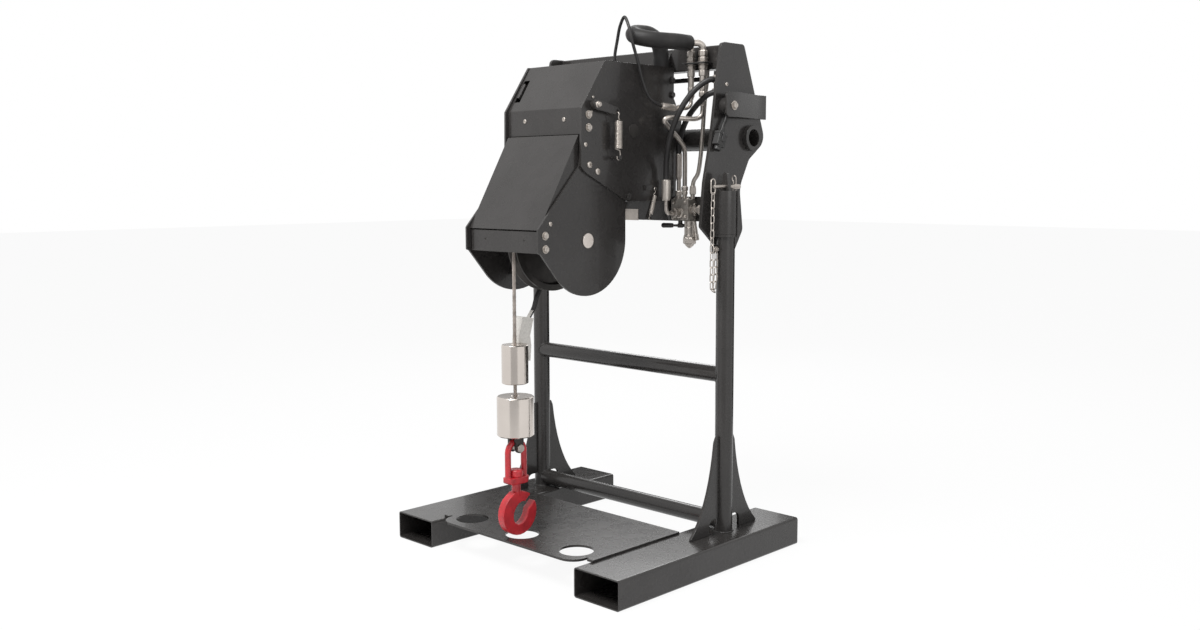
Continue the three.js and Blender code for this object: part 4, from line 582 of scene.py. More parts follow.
class WinchColours(bpy.types.PropertyGroup):
    paint: bpy.props.FloatVectorProperty(
        name="Paint", description="Colour of the charcoal powder coat", subtype="COLOR_GAMMA", size=3,
        default=(0x2C / 255, 0x2A / 255, 0x29 / 255), min=0.0, max=1.0,
    )
    hook: bpy.props.FloatVectorProperty(
        name="Hook", description="Colour of the hook's enamel", subtype="COLOR_GAMMA", size=3,
        default=(0xC0 / 255, 0x22 / 255, 0x2C / 255), min=0.0, max=1.0,
    )


def sizes():
    return bpy.context.scene.winch_sizes


class BuildOperator:
    bl_options = {"REGISTER", "UNDO"}

    def execute(self, context):
        if not finishes:
            make_finishes(context.scene.winch_colours)
        self.build()
        pick()
        return {"FINISHED"}


# Steelwork

# Width of the broken edge on each painted node, in millimetres
EDGED_PAINT = {
    "base_tube_right": 1.5, "base_tube_left": 1.5, "base_plate": 0.8, "post_right": 1.0, "post_left": 1.0,
    "lower_crossbar": 0.8, "upper_crossbar": 0.8, "gusset_front_right": 0.8, "gusset_front_left": 0.8,
    "gusset_rear_right": 0.8, "gusset_rear_left": 0.8, "carriage_plate_right": 1.0,
    "carriage_plate_left": 1.0, "cross_tube": 1.2, "top_beam": 1.5, "lower_beam": 1.2,
    "drum_plate_right": 0.8, "drum_plate_left": 0.8, "head_plate_right": 0.8, "head_plate_left": 0.8,
    "box_shell": 0.7, "upper_cover": 0.7, "nose_cover": 0.7, "nose_band": 0.6, "clamp_bracket": 0.8,
    "coupler_bracket": 0.6, "window_latch": 1.0, "tie_rod": 0.5,
}


class WINCH_OT_steelwork(BuildOperator, bpy.types.Operator):
    """Stand, carriage, box and covers, with broken edges"""
    bl_idname = "winch.steelwork"
    bl_label = "Painted steelwork"

    def build(self):
        share = sizes().edge / (EDGE * MM)
        for node, width in EDGED_PAINT.items():
            edged(node, width * share, "paint")


# The weld round a post's foot, on top of its skid
FOOT_WELD_Z = 101.2
FOOT_WELD_RADIUS = 33.2
# Ripples of a bead as (share of its radius, turn in radians from one point to the next)
RIPPLE = (0.16, 2.2)
FINE_RIPPLE = (0.05, 5.1)


def bead(points, radius, phase=0):
    """A weld bead along places in millimetres: a rippled half-sunk bar."""
    path = smooth_path(points, 2.5)
    swell = [
        1 + RIPPLE[0] * math.sin(RIPPLE[1] * i + phase) + FINE_RIPPLE[0] * math.sin(FINE_RIPPLE[1] * i)
        for i in range(len(path))
    ]
    return tube(path, radius, 8, False, swell)


class WINCH_OT_welds(BuildOperator, bpy.types.Operator):
    """Weld beads round the posts' feet, the crossbars and the cross tube"""
    bl_idname = "winch.welds"
    bl_label = "Welds"

    def build(self):
        radius = sizes().bead / MM
        beads = []
        for side in (-1, 1):
            x = side * POST_X
            foot = arc_points((x, POST_Y, FOOT_WELD_Z), FOOT_WELD_RADIUS, 0, 360, 24, "XY")
            beads.append(bead(foot, radius * 1.1))
            for height in BAR_HEIGHTS:
                ring = [
                    (x - side * math.sqrt(POST_RADIUS ** 2 - y ** 2), POST_Y + y, z)
                    for _, y, z in arc_points((0, 0, height), BAR_RADIUS, 90, -270, 24)
                ]
                beads.append(bead(ring, radius * 0.9, 1))
            tube_ring = arc_points((side * CARRIAGE_INNER, *CROSS_TUBE), CROSS_TUBE_RADIUS, 0, 360, 24)
            beads.append(bead(tube_ring, radius, 2))
        keep(joined(beads), "weld_beads", "weld")


# Fasteners, each at its (y, z) on both sides

BOX_HEX = ((-229, 1554), (-229, 1511))
HEAD_HEX = ((-423, 1155), (-422, 1111))
BOX_DOT = ((-244, 1454),)
HEAD_DOT = ((-399, 1193),)
BOX_DOMES = ((-226, 1387), (-187, 1365))
BOX_REAR = ((196, 1692), (196, 1640), (-36, 1280))
CARRIAGE_DOME = ((212, 1664),)
COVER_DOT = (-250, 1540)
BAND_DOT = (-437.6, 1139)
COVER_SCREW_X = 98


def on_both_sides(half, places):
    """Each (y, z) on the outer faces, half to the right and left of the middle, and facing outwards."""
    return [((side * half, y, z), (side, 0, 0)) for side in (1, -1) for y, z in places]


class WINCH_OT_fasteners(BuildOperator, bpy.types.Operator):
    """Screws and washers on the box, the covers and the carriage"""
    bl_idname = "winch.fasteners"
    bl_label = "Fasteners"

    def build(self):
        hexes = on_both_sides(BOX_HALF, BOX_HEX) + on_both_sides(HEAD_HALF, HEAD_HEX)
        dots = on_both_sides(BOX_HALF, BOX_DOT) + on_both_sides(HEAD_HALF, HEAD_DOT)
        dots += [((side * COVER_SCREW_X, *COVER_DOT), FRONT) for side in (1, -1)]
        fasten(
            hex_screw(across=11.2, height=7, washer=14, thickness=2), ("hex_screws_bright", "zinc", hexes),
            ("hex_screws_painted", "paint", on_both_sides(BOX_HALF, BOX_REAR)),
        )
        domes = on_both_sides(BOX_HALF, BOX_DOMES)
        fasten(dome_screw(radius=11.2, height=6), ("dome_screws_side", "zinc", domes))
        fasten(dome_screw(radius=7.8, height=3.8), ("dome_screws_small", "zinc", dots))
        band = [((side * COVER_SCREW_X, *BAND_DOT), FRONT) for side in (1, -1)]
        fasten(dome_screw(radius=3.4, height=1.8), ("nose_band_screws", "dark", band))
        clamp = hex_screw(across=11.5, height=8, washer=16, thickness=2.5)
        fasten(clamp, ("clamp_bolt", "zinc", [((475, 197, 1590), X)]))
        carriage = on_both_sides(CARRIAGE_OUTER, CARRIAGE_DOME)
        fasten(dome_screw(radius=7.5, height=4), ("carriage_screws", "zinc", carriage))


# Drum, motor and sheave

class WINCH_OT_winch(BuildOperator, bpy.types.Operator):
    """Drum with its wound rope, motor, sheave and the axle that carries it"""
    bl_idname = "winch.winch"
    bl_label = "Drum, motor and sheave"

    def build(self):
        drum = round_turning((0, *DRUM), X, [
            (36, -119.9), (96, -119.9), (150, -119.9), (150, -110), (120, -110), (120, 140), (150, 140),
            (150, 150), (36, 150), (36, 184.7), (24.6, 184.7), (24.6, 195),
        ], 96, 1.2)
        keep(drum, "winch_drum_turned", "dark", "drum", ["winch_drum"])
        layer = coil((-103.5, *DRUM), (133.5, *DRUM), radius=121, turns=17, steps=40)
        keep(tube(layer, 6.4, 8), "wound_rope", "rope", "drum")
        sheave = turning((0, *SHEAVE), X, [
            (26, -26), (60, -26), (60, -7), (153, -7), (158.4, -23), (180, -23), (180, -18.5),
            (162.1, -5.2), (162.1, 5.2), (180, 18.5), (180, 23), (158.4, 23), (153, 7), (60, 7), (60, 26),
            (26, 26), (26, -26),
        ], 96)
        round_edges(sheave, 1.0, 2, 30)
        keep(sheave, "rope_sheave", "dark", "sheave", ["sheave"])
        edged("hydraulic_motor", 1.0, "dark")
        axle = round_turning((0, *SHEAVE), X, [
            (25.5, -188.9), (25.5, -176), (36, -176), (36, -26.4), (25.5, -26.4), (25.5, 26.4), (36, 26.4),
            (36, 176), (25.5, 176), (25.5, 188.9),
        ], 48, 1.0)
        keep(axle, "sheave_axle", "steel", "frame", ["sheave_pin"])


# Rope and load line

# Six strands round a core, each point of the rope about a step from the last, in millimetres
STRANDS = 6
STRAND_RADIUS = 2.15
STRAND_PITCH = 4.2
CORE_RADIUS = 2.6
ROPE_STEP = 6
FALL_STEPS = 90


class WINCH_OT_rope(BuildOperator, bpy.types.Operator):
    """The six strands of the hoist rope"""
    bl_idname = "winch.rope"
    bl_label = "Wire rope"

    def build(self):
        path = self.route()
        lay = sizes().lay
        strands = []
        for k in range(STRANDS):
            run = 0.0
            twisted = []
            for i, place in enumerate(path):
                heading = (path[min(i + 1, len(path) - 1)] - path[max(i - 1, 0)]).normalized()
                out = X.cross(heading).normalized()
                if i:
                    run += (place - path[i - 1]).length
                angle = 2 * math.pi * (run / lay + k / STRANDS)
                twisted.append(place + (X * math.cos(angle) + out * math.sin(angle)) * STRAND_PITCH * MM)
            strands.append(tube(twisted, STRAND_RADIUS, 8))
        core = tube(path, CORE_RADIUS, 8)
        keep(joined([*strands, core]), "rope_strands", "rope", "frame", ["rope"])

    def route(self):
        """The rope's middle line: off the drum on a tangent, round the sheave and straight down"""
        drum, sheave = Vector(DRUM), Vector(SHEAVE)
        across = sheave - drum
        along = across.normalized()
        share = (DRUM_PITCH - SHEAVE_PITCH) / across.length
        normal = along * share + Vector((along.y, -along.x)) * math.sqrt(1 - share * share)
        leave = drum + normal * DRUM_PITCH
        meet = sheave + normal * SHEAVE_PITCH
        steps = int((meet - leave).length / ROPE_STEP)
        places = [leave.lerp(meet, i / steps) for i in range(steps)]
        start = math.atan2(normal.y, normal.x)
        steps = int((math.pi - start) * SHEAVE_PITCH / ROPE_STEP)
        for i in range(steps + 1):
            angle = start + (math.pi - start) * i / steps
            places.append(sheave + Vector((math.cos(angle), math.sin(angle))) * SHEAVE_PITCH)
        drop = SHEAVE[1] - ROPE_END
        places += [(FALL_Y, SHEAVE[1] - drop * i / FALL_STEPS) for i in range(1, FALL_STEPS + 1)]
        return [mm(0, *place) for place in places]


class WINCH_OT_load(BuildOperator, bpy.types.Operator):
    """The two turned weights, the clevis, the bail and the hook"""
    bl_idname = "winch.load"
    bl_label = "Load line"

    def build(self):
        limit = turning((0, FALL_Y, 644), Z, [
            (7.4, 0), (43.5, 0), (46, 2.5), (46, 131.5), (43.5, 134), (12, 134), (7.4, 130), (7.4, 0),
        ], 96)
        smooth(limit, 25)
        keep(limit, "limit_weight_turned", "steel", "limit_body", ["limit_weight"])
        hook = turning((0, FALL_Y, 462), Z, [
            (20, 0), (60.5, 0), (64, 3.5), (64, 134.5), (60.5, 138), (14, 138), (7.4, 133), (7.4, 38),
        ], 96)
        smooth(hook, 25)
        keep(hook, "hook_weight_turned", "steel", "hook_block", ["hook_weight"])
        edged("shackle", 1.2, "dark", "hook_block")
        self.build_pin()
        forged("swivel_bail", 1.4, 6, "red", "bail")
        forged("hook", 1.5, 8, "red", "hook")

    def build_pin(self):
        """Clevis bolt with its head, its nut and a threaded end"""
        bolt = round_turning((-30, FALL_Y, CLEVIS_Z), X, [
            (9.2, 0), (10, 0.8), (10, 48), (9, 48.6), (9.8, 50), (9, 51.4), (9.8, 52.8), (9, 54.2),
            (9.8, 55.6), (9, 57), (9.4, 58.4), (8.4, 60),
        ], 32, 0.3)
        ends = [
            round_turning((side * 22.8, FALL_Y, CLEVIS_Z), (side, 0, 0), [
                (15.6, 0), (15.6, 5.6), (13.6, 7), (10.4, 7),
            ], 6, 0.4)
            for side in (-1, 1)
        ]
        keep(joined([bolt, *ends]), "clevis_bolt", "zinc", "hook_block", ["shackle_pin"])


def inside(point, outline):
    """Whether (y, z) is inside a closed outline."""
    y, z = point
    count = 0
    for (y1, z1), (y2, z2) in zip(outline, outline[1:] + outline[:1]):
        if (z1 > z) != (z2 > z) and y < (y2 - y1) * (z - z1) / (z2 - z1) + y1:
            count += 1
    return count % 2 == 1


# Outline of the rope clamp in (y, z), to tell it from the strap that it shares a mesh with
WEDGE = [
    (-354, 872), (-299, 862), (-316, 800), (-311, 766), (-315, 711), (-329, 711), (-329, 772),
    (-375, 775), (-371, 806),
]


class WINCH_OT_limit(BuildOperator, bpy.types.Operator):
    """Limit switch in the head and the strap that holds the upper weight"""
    bl_idname = "winch.limit"
    bl_label = "Limit line"

    def build(self):
        edged("limit_switch", 1.5, "nylon")
        link = mesh_copy("limit_link")
        round_edges(link, 1.0)
        link.data.materials.clear()
        link.data.materials.append(finishes["rubber"])
        link.data.materials.append(finishes["wedge"])
        for face in link.data.polygons:
            middle = face.center / MM
            face.material_index = int(inside((middle.y, middle.z), WEDGE))
        keep(link, "limit_strap", None, "limit_body", ["limit_link"])


# Springs and lever

# Middle planes of the two springs, and where the big one's body and its anchor are
SPRING_X = 224
SPRING_TOP = 1534
SPRING_LOW = 1441
ANCHOR_Z = 1412
GUIDE_X = 205
GUIDE_ENDS = ((96, 1292), (67, 1204))
GUIDE_EYE = 12


class WINCH_OT_springs(BuildOperator, bpy.types.Operator):
    """Lever on the right of the box with its extension spring, and the thin guide spring"""
    bl_idname = "winch.springs"
    bl_label = "Lever and springs"

    def build(self):
        edged("lever_arm", 1.0, "paint", "lever")
        rings = [(11, 0), (11, 2), (8, 3.2), (8, 11), (6.5, 12)]
        cap = round_turning((218, *LEVER_PIVOT), X, rings, 32, 0.5)
        keep(cap, "lever_pivot_cap", "zinc", "lever")
        pins = [
            round_turning((BOX_HALF, y, z), X, [(4.6, 0), (4.6, 3), (3.6, 4)], 20, 0.3)
            for y, z in ((-209, 1612), (-217, 1563))
        ]
        keep(joined(pins), "lever_stops", "zinc")
        self.build_big_spring()
        self.build_guide_spring()

    def build_big_spring(self):
        """Extension spring from the lever's tip, hooked over its anchor on the box"""
        x = SPRING_X
        y, z = LEVER_TIP
        top = [
            (206, y, z - 4.4), (x - 2.2, y, z - 4), (x + 2.2, y, z - 8), (x, y, 1546), (x, y + 5.5, 1539),
        ]
        tail = [(x, y + 5.5, 1436), (x, y + 7.6, 1422)]
        tail += arc_points((x, y, ANCHOR_Z), 7.5, 0, -180, 8) + [(x, y - 7.5, 1416.4)]
        body = coil((x, y, SPRING_TOP), (x, y, SPRING_LOW), radius=11.6, turns=22)
        path = smooth_path(top, 3) + body + smooth_path(tail, 3)
        keep(tube(path, 2.0, 10), "extension_spring", "zinc", "frame", ["lever_spring"])

    def build_guide_spring(self):
        """Thin spring with an eye at each end, under the rear of the box"""
        start, end = [Vector((GUIDE_X, *place)) for place in GUIDE_ENDS]
        along = (end - start).normalized()
        upper = arc_points((GUIDE_X, 96, 1304), 5.6, 20, 300, 14)
        lower = arc_points((GUIDE_X, 67, 1202), 5.6, 90, 360, 14)
        body = coil(start + along * GUIDE_EYE, end - along * GUIDE_EYE, radius=6.2, turns=28, steps=12)
        path = [mm(*place) for place in upper] + body + [mm(*place) for place in lower]
        keep(tube(path, 1.15, 8), "guide_spring_coil", "zinc", "frame", ["guide_spring"])


# Hydraulics

# Corners of the valve body, and the height at which what stands on it starts
VALVE_LOW = (168, 225, 1190)
VALVE_HIGH = (248, 270.7, 1267)
PORT_Z = 1267.3
# The unions' middle plane, the bulkhead plate's faces and the height of the elbows' ends
UNION_Y = 215
BULKHEAD = (1742, 1748)
OUTLET_Z = 1813
SLEEVE = [
    (290, 172, 1813), (290, 154, 1813), (278, 122, 1815), (254, 84, 1817), (229, 50, 1820),
    (202, 30, 1826), (176, 24, 1833), (155, 34, 1842), (142, 58, 1850), (141, 90, 1853),
    (148, 126, 1850), (157, 158, 1829), (162, 171, 1790), (162, 172, 1762), (162, 172, 1737.3),
]
THIN = [
    (234, 108, 1593.6), (231, 98, 1595), (219, 51, 1620), (211, 22, 1676), (206, 0, 1746),
    (201, -20, 1806), (186, -23, 1862), (156, -13, 1897), (130, -7, 1870), (110, -1, 1819),
    (100, -1, 1778), (98, -1, 1752), (98, -1, 1734.3),
]
THIN_TIP = (247, 150, 1588)
THIN_BACK = (231, 98, 1595)
THIN_LINK = [(267, 215, 1619.7), (267, 215, 1605.7), (264, 203, 1592), (259, 183, 1588), THIN_TIP]
PRESSURE = [
    (222, 134, 1333), (222, 134, 1365), (232, 125, 1410), (257, 111, 1478), (295, 110, 1560),
    (326, 131, 1622), (357, 156, 1662), (380, 176, 1680), (395, 194, 1683), (395, 211.7, 1683),
]
PRESSURE_ELBOW = [
    (222, 134, 1267), (222, 134, 1244), (219, 141, 1226), (212, 158, 1217), (206, 176, 1217),
    (206, 189.7, 1217),
]
RETURN = [
    (191, 240, 1426), (191, 240, 1446), (203, 235, 1490), (232, 222, 1535), (272, 208, 1573),
    (330, 190, 1610), (372, 184, 1632), (395, 194, 1639), (395, 211.7, 1639),
]
FRONT_PIPE = [
    (321, 215, 1619.7), (321, 215, 1580), (319, 211, 1562), (309, 199, 1552), (276, 146, 1552),
    (256, 106, 1553), (250, 95, 1548), (247, 95, 1540), (246, 106, 1532), (228, 222, 1456),
    (222, 235, 1440), (220, 239, 1420), (220, 239, 1281.3),
]
REAR_PIPE = [
    (304, 262, 1723.7), (303, 261, 1690), (298, 258, 1640), (266, 258, 1360), (248, 257, 1334),
    (243, 257, 1314), (243, 257, 1281.3),
]


def crimp(base, axis, length, radius):
    """A crimped hose end: ten pressed flats between two short shoulders."""
    body = turning(base, axis, [
        (radius * 0.9, 0), (radius, length * 0.04), (radius, length * 0.9), (radius * 0.9, length * 0.94),
        (radius * 0.9, length),
    ], 10)
    round_edges(body, 0.8, 2, 30)
    return body


def swivel_nut(base, axis, height, radius):
    """A hexagon union nut with chamfered ends."""
    body = turning(base, axis, [
        (radius * 0.86, 0), (radius, height * 0.14), (radius, height * 0.86), (radius * 0.86, height),
    ], 6)
    round_edges(body, 0.5, 2, 25)
    return body


class WINCH_OT_hoses(BuildOperator, bpy.types.Operator):
    """Rubber hoses with their crimped ends"""
    bl_idname = "winch.hoses"
    bl_label = "Hoses"

    def build(self):
        sleeve = hose(SLEEVE, 28, 28)
        round_edges(sleeve, 3.0, 3, 60)
        keep(sleeve, "sleeve_pair", "sleeve", "frame", ["sleeved_hose"])
        keep(hose(THIN, 5.5, 14), "thin_line", "rubber", "frame", ["thin_hose"])
        tip, back, nut = Vector(THIN_TIP), Vector(THIN_BACK), Vector((258, 180.5, 1588))
        ends = [
            crimp(tip, back - tip, (back - tip).length, 12.6), hose(THIN_LINK, 6.5, 14, 3),
            swivel_nut(nut, tip - nut, 22, 12.8),
        ]
        keep(joined(ends), "thin_line_end", "zinc")
        keep(hose(PRESSURE, 10, 18), "pressure_line", "rubber", "frame", ["pressure_hose"])
        keep(joined([
            crimp((222, 134, 1337), DOWN, 74, 16.2), hose(PRESSURE_ELBOW, 6.8, 16, 3),
            crimp((395, 186, 1683), Y, 25.7, 15),
        ]), "pressure_line_ends", "zinc")
        keep(hose(RETURN, 10, 18), "return_line", "rubber", "frame", ["return_hose"])
        keep(joined([
            crimp((191, 240, 1430), DOWN, 89, 12),
            round_turning((191, 240, PORT_Z), Z, [(10, 0), (10, 12), (8, 30), (8, 74), (9, 75)], 24, 0.5),
            swivel_nut((191, 240, 1279), Z, 18, 13), crimp((395, 186, 1639), Y, 25.7, 15),
        ]), "return_line_ends", "zinc")


# Nuts up each union, as (place along Z, height, radius)
UNION_NUTS = (
    (1628, 18, 14.4), (1652, 12, 13.8), (1699, 20, 15.6), (1725, 13, 16.6), (1752, 14, 17),
    (1768, 21, 16.4),
)
# Cap screws on the front, side and top of the valve body
BLOCK_FRONT = ((180, 1255), (233, 1256), (234, 1203), (178, 1200))
BLOCK_SIDE = (1212, 1247)
BLOCK_TOP = (178, 240)
LEVER_LEAN = 24


class WINCH_OT_fittings(BuildOperator, bpy.types.Operator):
    """Bulkhead unions, steel pipes, valve block and its cartridge"""
    bl_idname = "winch.fittings"
    bl_label = "Pipes and valve"

    def build(self):
        plate = block((245, 190, BULKHEAD[0]), (345, 239.7, BULKHEAD[1]), 1.0)
        keep(plate, "bulkhead_plate", "paint", "frame", ["bulkhead_fittings"])
        self.build_union("inner", 267, 278, 0.9)
        self.build_union("outer", 321, 302, 1.0)
        front = [
            hose(FRONT_PIPE, 8.4, 20, 4),
            round_turning((220, 239, PORT_Z), Z, [
                (8.6, 0), (10, 1), (10, 7), (8.6, 8), (8.6, 22),
            ], 24, 0.4),
            swivel_nut((220, 239, 1283), Z, 12, 11), swivel_nut((220, 239, 1297), Z, 16, 12.6),
            swivel_nut((321, UNION_Y, 1596), Z, 20, 13.4),
        ]
        keep(joined(front), "front_pipe", "zinc", "frame", ["steel_pipe_front"])
        rear = [
            hose(REAR_PIPE, 7.6, 18, 4),
            round_turning((243, 257, PORT_Z), Z, [
                (8.6, 0), (8.6, 16), (11, 17), (11, 44), (9.4, 48),
            ], 24, 0.5),
            swivel_nut((243, 257, 1284), Z, 24, 12.4),
        ]
        keep(joined(rear), "rear_pipe", "zinc", "frame", ["steel_pipe_rear"])
        self.build_block()
        self.build_lever()

    def build_union(self, name, x, outlet, size):
        """Union through the bulkhead plate, its nuts and its elbow. size is its share of full width"""
        stem = round_turning((x, UNION_Y, 0), Z, [
            (9.5, 1620), (9.5, 1626), (12 * size, 1627), (12 * size, 1698), (11 * size, 1699),
            (11 * size, 1712), (13.4 * size, 1713), (13.4 * size, 1739), (19 * size, 1739.5),
            (19 * size, BULKHEAD[0]),
        ], 32, 0.4)
        neck = round_turning((x, UNION_Y, 0), Z, [
            (19 * size, BULKHEAD[1]), (19 * size, 1751), (12, 1751.5), (12, 1782), (10.4, 1783),
            (10.4, 1790),
        ], 32, 0.4)
        nuts = [swivel_nut((x, UNION_Y, z), Z, height, radius * size) for z, height, radius in UNION_NUTS]
        nuts.append(swivel_nut((outlet, 185, OUTLET_Z), FRONT, 11, 12))
        elbow = hose([
            (x, UNION_Y, 1782), (x, UNION_Y, 1793), (x, 212, 1803), ((2 * x + outlet) / 3, 201, 1812),
            (outlet, 182, OUTLET_Z), (outlet, 172.3, OUTLET_Z),
        ], 11.6, 20, 3)
        keep(joined([stem, neck, elbow, *nuts]), "union_" + name, "zinc")

    def build_block(self):
        """Valve body with its ports, cap screws and relief cartridge"""
        body = block(VALVE_LOW, VALVE_HIGH, 1.5)
        keep(body, "valve_body", "block", "frame", ["valve_block"])
        ports = [
            round_turning((206, VALVE_LOW[1], 1217), FRONT, [
                (19, -2), (19, 3), (14, 5), (14, 14), (9.5, 15), (9.5, 35),
            ], 28, 0.5),
            swivel_nut((206, 212, 1217), FRONT, 20, 18),
            round_turning((VALVE_HIGH[0], 248, 1229), X, [
                (16, -2), (16, 3), (9.4, 4), (9.4, 22), (12, 26), (12, 32), (9, 33), (9, 48),
            ], 28, 0.5),
            swivel_nut((253, 248, 1229), X, 12, 15), swivel_nut((276, 248, 1229), X, 17, 17),
        ]
        keep(joined(ports), "valve_ports", "zinc")
        heads = [((x, VALVE_LOW[1], z), FRONT) for x, z in BLOCK_FRONT]
        heads += [((VALVE_HIGH[0], 262, z), X) for z in BLOCK_SIDE]
        heads += [((x, 233, VALVE_HIGH[2]), Z) for x in BLOCK_TOP]
        fasten(dome_screw(radius=6.4, height=5), ("valve_cap_screws", "zinc", heads))
        cartridge = [
            round_turning((238, 246, 1189.7), DOWN, [
                (15, 0), (19, 2), (19, 20), (17.6, 21), (17.6, 24), (19, 25), (19, 52), (21.6, 53),
                (21.6, 60),
            ], 36, 0.6),
            swivel_nut((238, 246, 1130), DOWN, 26, 24),
            turning((238, 246, 1104), DOWN, [(17, 0), (14, 6), (7, 12), (3, 15)], 24),
            round_turning((265, 256, 1118), (-14, 0, 69.7), [
                (6.4, 0), (8.6, 2), (8.6, 22), (7.4, 23), (7.4, 70),
            ], 20, 0.6),
        ]
        keep(joined(cartridge), "relief_cartridge", "zinc", "frame", ["valve_cartridge"])

    def build_lever(self):
        """Drain lever: hub, tapered arm and a turned grip, under the valve body"""
        lean = math.radians(LEVER_LEAN)
        along = Vector((-math.cos(lean), -math.sin(lean), 0))
        hub = Vector((199, 240, 1171))
        arm = block((-15, -11, -6), (34, 11, 6), 2.0)
        tapered(arm, reach=34, share=0.55, depth=4)
        turn = along.to_track_quat("X", "Z").to_matrix().to_4x4()
        arm.data.transform(Matrix.Translation(hub * MM) @ turn)
        stub = round_turning((199, 240, 1163), Z, [(10, 0), (10, 15), (8, 16), (8, 26.7)], 24, 0.6)
        keep(joined([arm, stub]), "drain_lever", "dark", "handle", ["drain_handle"])
        grip = round_turning(hub + along * 26, along, [
            (5.6, 0), (8.0, 3), (8.8, 12), (8.8, 30), (9.2, 38), (7.4, 44), (3.4, 46),
        ], 28, 1.0)
        keep(grip, "drain_grip", "nylon", "handle")


# Lock gear and side gear

# Outline of a spring clip from its pin, in (x, z), and the chain's route and links
CLIP = (
    (0, -14), (0, 0), (0, 27), (-2.7, 35.8), (-9, 38), (-16.2, 32.5), (-15.3, 24), (-10.9, 17), (-10.9, 0),
    (-11.9, -9), (-13.9, -14),
)
CHAIN = [
    (468.3, 93, 1290.2), (468.3, 90, 1150), (467.3, 90, 1000), (464.3, 95, 966), (460.3, 109, 957),
    (457.3, 118, 968), (459, 121, 1000), (460, 124, 1089),
]
LINK_PITCH = 24.6


def stadium(bend, straight, wire, count=8):
    """A chain link lying in the XY plane, its long side along Y."""
    path = arc_points((0, straight, 0), bend, 0, 180, count, "XY")
    path += arc_points((0, -straight, 0), bend, 180, 360, count, "XY")
    return tube([mm(*place) for place in path], wire, 10, True)


class WINCH_OT_lock(BuildOperator, bpy.types.Operator):
    """Lock pins, their spring clips and the chain that keeps the right one"""
    bl_idname = "winch.lock"
    bl_label = "Lock gear"

    def build(self):
        for side, name in ((1, "right"), (-1, "left")):
            pin = round_turning((side * POST_X, 0, PIN_Z), Y, [
                (4.5, 96), (6, 98), (6, 200), (8.5, 204), (8.5, 237),
            ], 28, 0.6)
            keep(pin, "lock_pin_turned_" + name, "zinc", "frame", ["lock_pin_" + name])
            clip = hose([(side * (POST_X + x), 219, PIN_Z + z) for x, z in CLIP], 1.8, 10, 2)
            keep(clip, "spring_clip_" + name, "zinc", "clip_" + name, ["r_clip_" + name])
        self.build_chain()

    def build_chain(self):
        """Links laid along the frame's chain, each turned a quarter from the last"""
        route = smooth_path(CHAIN, 1.0)
        runs = [0.0]
        for a, b in zip(route, route[1:]):
            runs.append(runs[-1] + (b - a).length)
        count = int(runs[-1] / (LINK_PITCH * MM))
        link = stadium(bend=6.5, straight=7.6, wire=2.1)
        links = []
        k = 0
        for i in range(count):
            want = runs[-1] * (i + 0.5) / count
            while runs[k + 1] < want:
                k += 1
            heading = (route[min(k + 2, len(route) - 1)] - route[max(k - 1, 0)]).normalized()
            side = heading.cross(X if i % 2 == 0 else Y).normalized()
            turn = Matrix((side, heading, side.cross(heading))).transposed().to_4x4()
            links.append(copied(link, Matrix.Translation(route[k]) @ turn))
        bpy.data.objects.remove(link)
        long = stadium(bend=11, straight=15, wire=2.5, count=12)
        upright = Matrix((Y, Z, X)).transposed().to_4x4()
        long.data.transform(Matrix.Translation(mm(POST_X, 93, PIN_Z)) @ upright)
        keep(joined([*links, long]), "pin_chain", "zinc", "frame", ["lock_chain"])


# The plug's middle, its lean on the lead, and the lead's places above it
PLUG = (442.3, 160, 1475)
PLUG_LEAN = -22
LEAD = [(442.3, 190, 1538), (442.3, 196, 1553), (442.3, 197, 1562)]


class WINCH_OT_side(BuildOperator, bpy.types.Operator):
    """Cable plug under the clamp bracket, the chain's bolt and a thin sheet of bright zinc that makes a
    bright patch on the low beam
    """
    bl_idname = "winch.side"
    bl_label = "Side gear"

    def build(self):
        self.build_plug()
        self.build_chain_bolt()
        # A thin sheet of bright zinc that makes a bright patch on the low beam
        plate = block((-150, 269.4, 1184), (-36, 271.2, 1227), 0.5, 2)
        keep(plate, "beam_bright_patch", "zinc")

    def build_plug(self):
        """A moulded plug housing with its collar, latch, cap and strain relief, leaning on its lead"""
        lean = Matrix.Translation(mm(*PLUG)) @ Matrix.Rotation(math.radians(PLUG_LEAN), 4, "X")
        shell = block((-13, -21, -25), (13, 21, 25), 2.4)
        ribs = [block((-13.6, y - 1.6, -22), (13.6, y + 1.6, 14), 0.8, 2) for y in (-12, -4, 4, 12)]
        collar = block((-14.2, -22.2, 15), (14.2, 22.2, 22), 1.2, 2)
        latch = block((12.4, -7, -8), (16, 7, 24), 1.2, 2)
        cap = round_turning((0, 0, -25), DOWN, [
            (12.6, -1), (14, 1), (14, 4), (12.4, 5), (13.4, 6), (13.4, 14), (11, 16),
        ], 28, 0.6)
        relief = turning((0, 0, 24), Z, [
            (10, -1), (10, 4), (8.4, 5), (9.2, 6), (9.2, 9), (7.8, 10), (8.4, 11), (8.4, 14), (7.2, 15),
            (7.6, 16), (7.6, 20), (6.6, 21),
        ], 24)
        smooth(relief, 40)
        housing = joined([shell, *ribs, collar, latch, cap, relief])
        housing.data.transform(lean)
        keep(housing, "cable_plug_housing", "nylon", "frame", ["cable_plug"])
        exits = [lean @ mm(0, 0, height) / MM for height in (30, 52)]
        keep(hose(exits + LEAD, 6.4, 16, 3), "cable_plug_lead", "rubber")

    def build_chain_bolt(self):
        """Hexagon bolt through the chain's lug on the right post"""
        head = hex_screw(across=8.4, height=6, washer=10.5, thickness=2)
        thread = round_turning((0, 0, 0), Z, [(4.4, 6), (4.4, 13), (3.4, 14.5)], 20, 0.3)
        fasten(joined([head, thread]), ("chain_bolt", "zinc", [((458, 124, 1099), X)]))


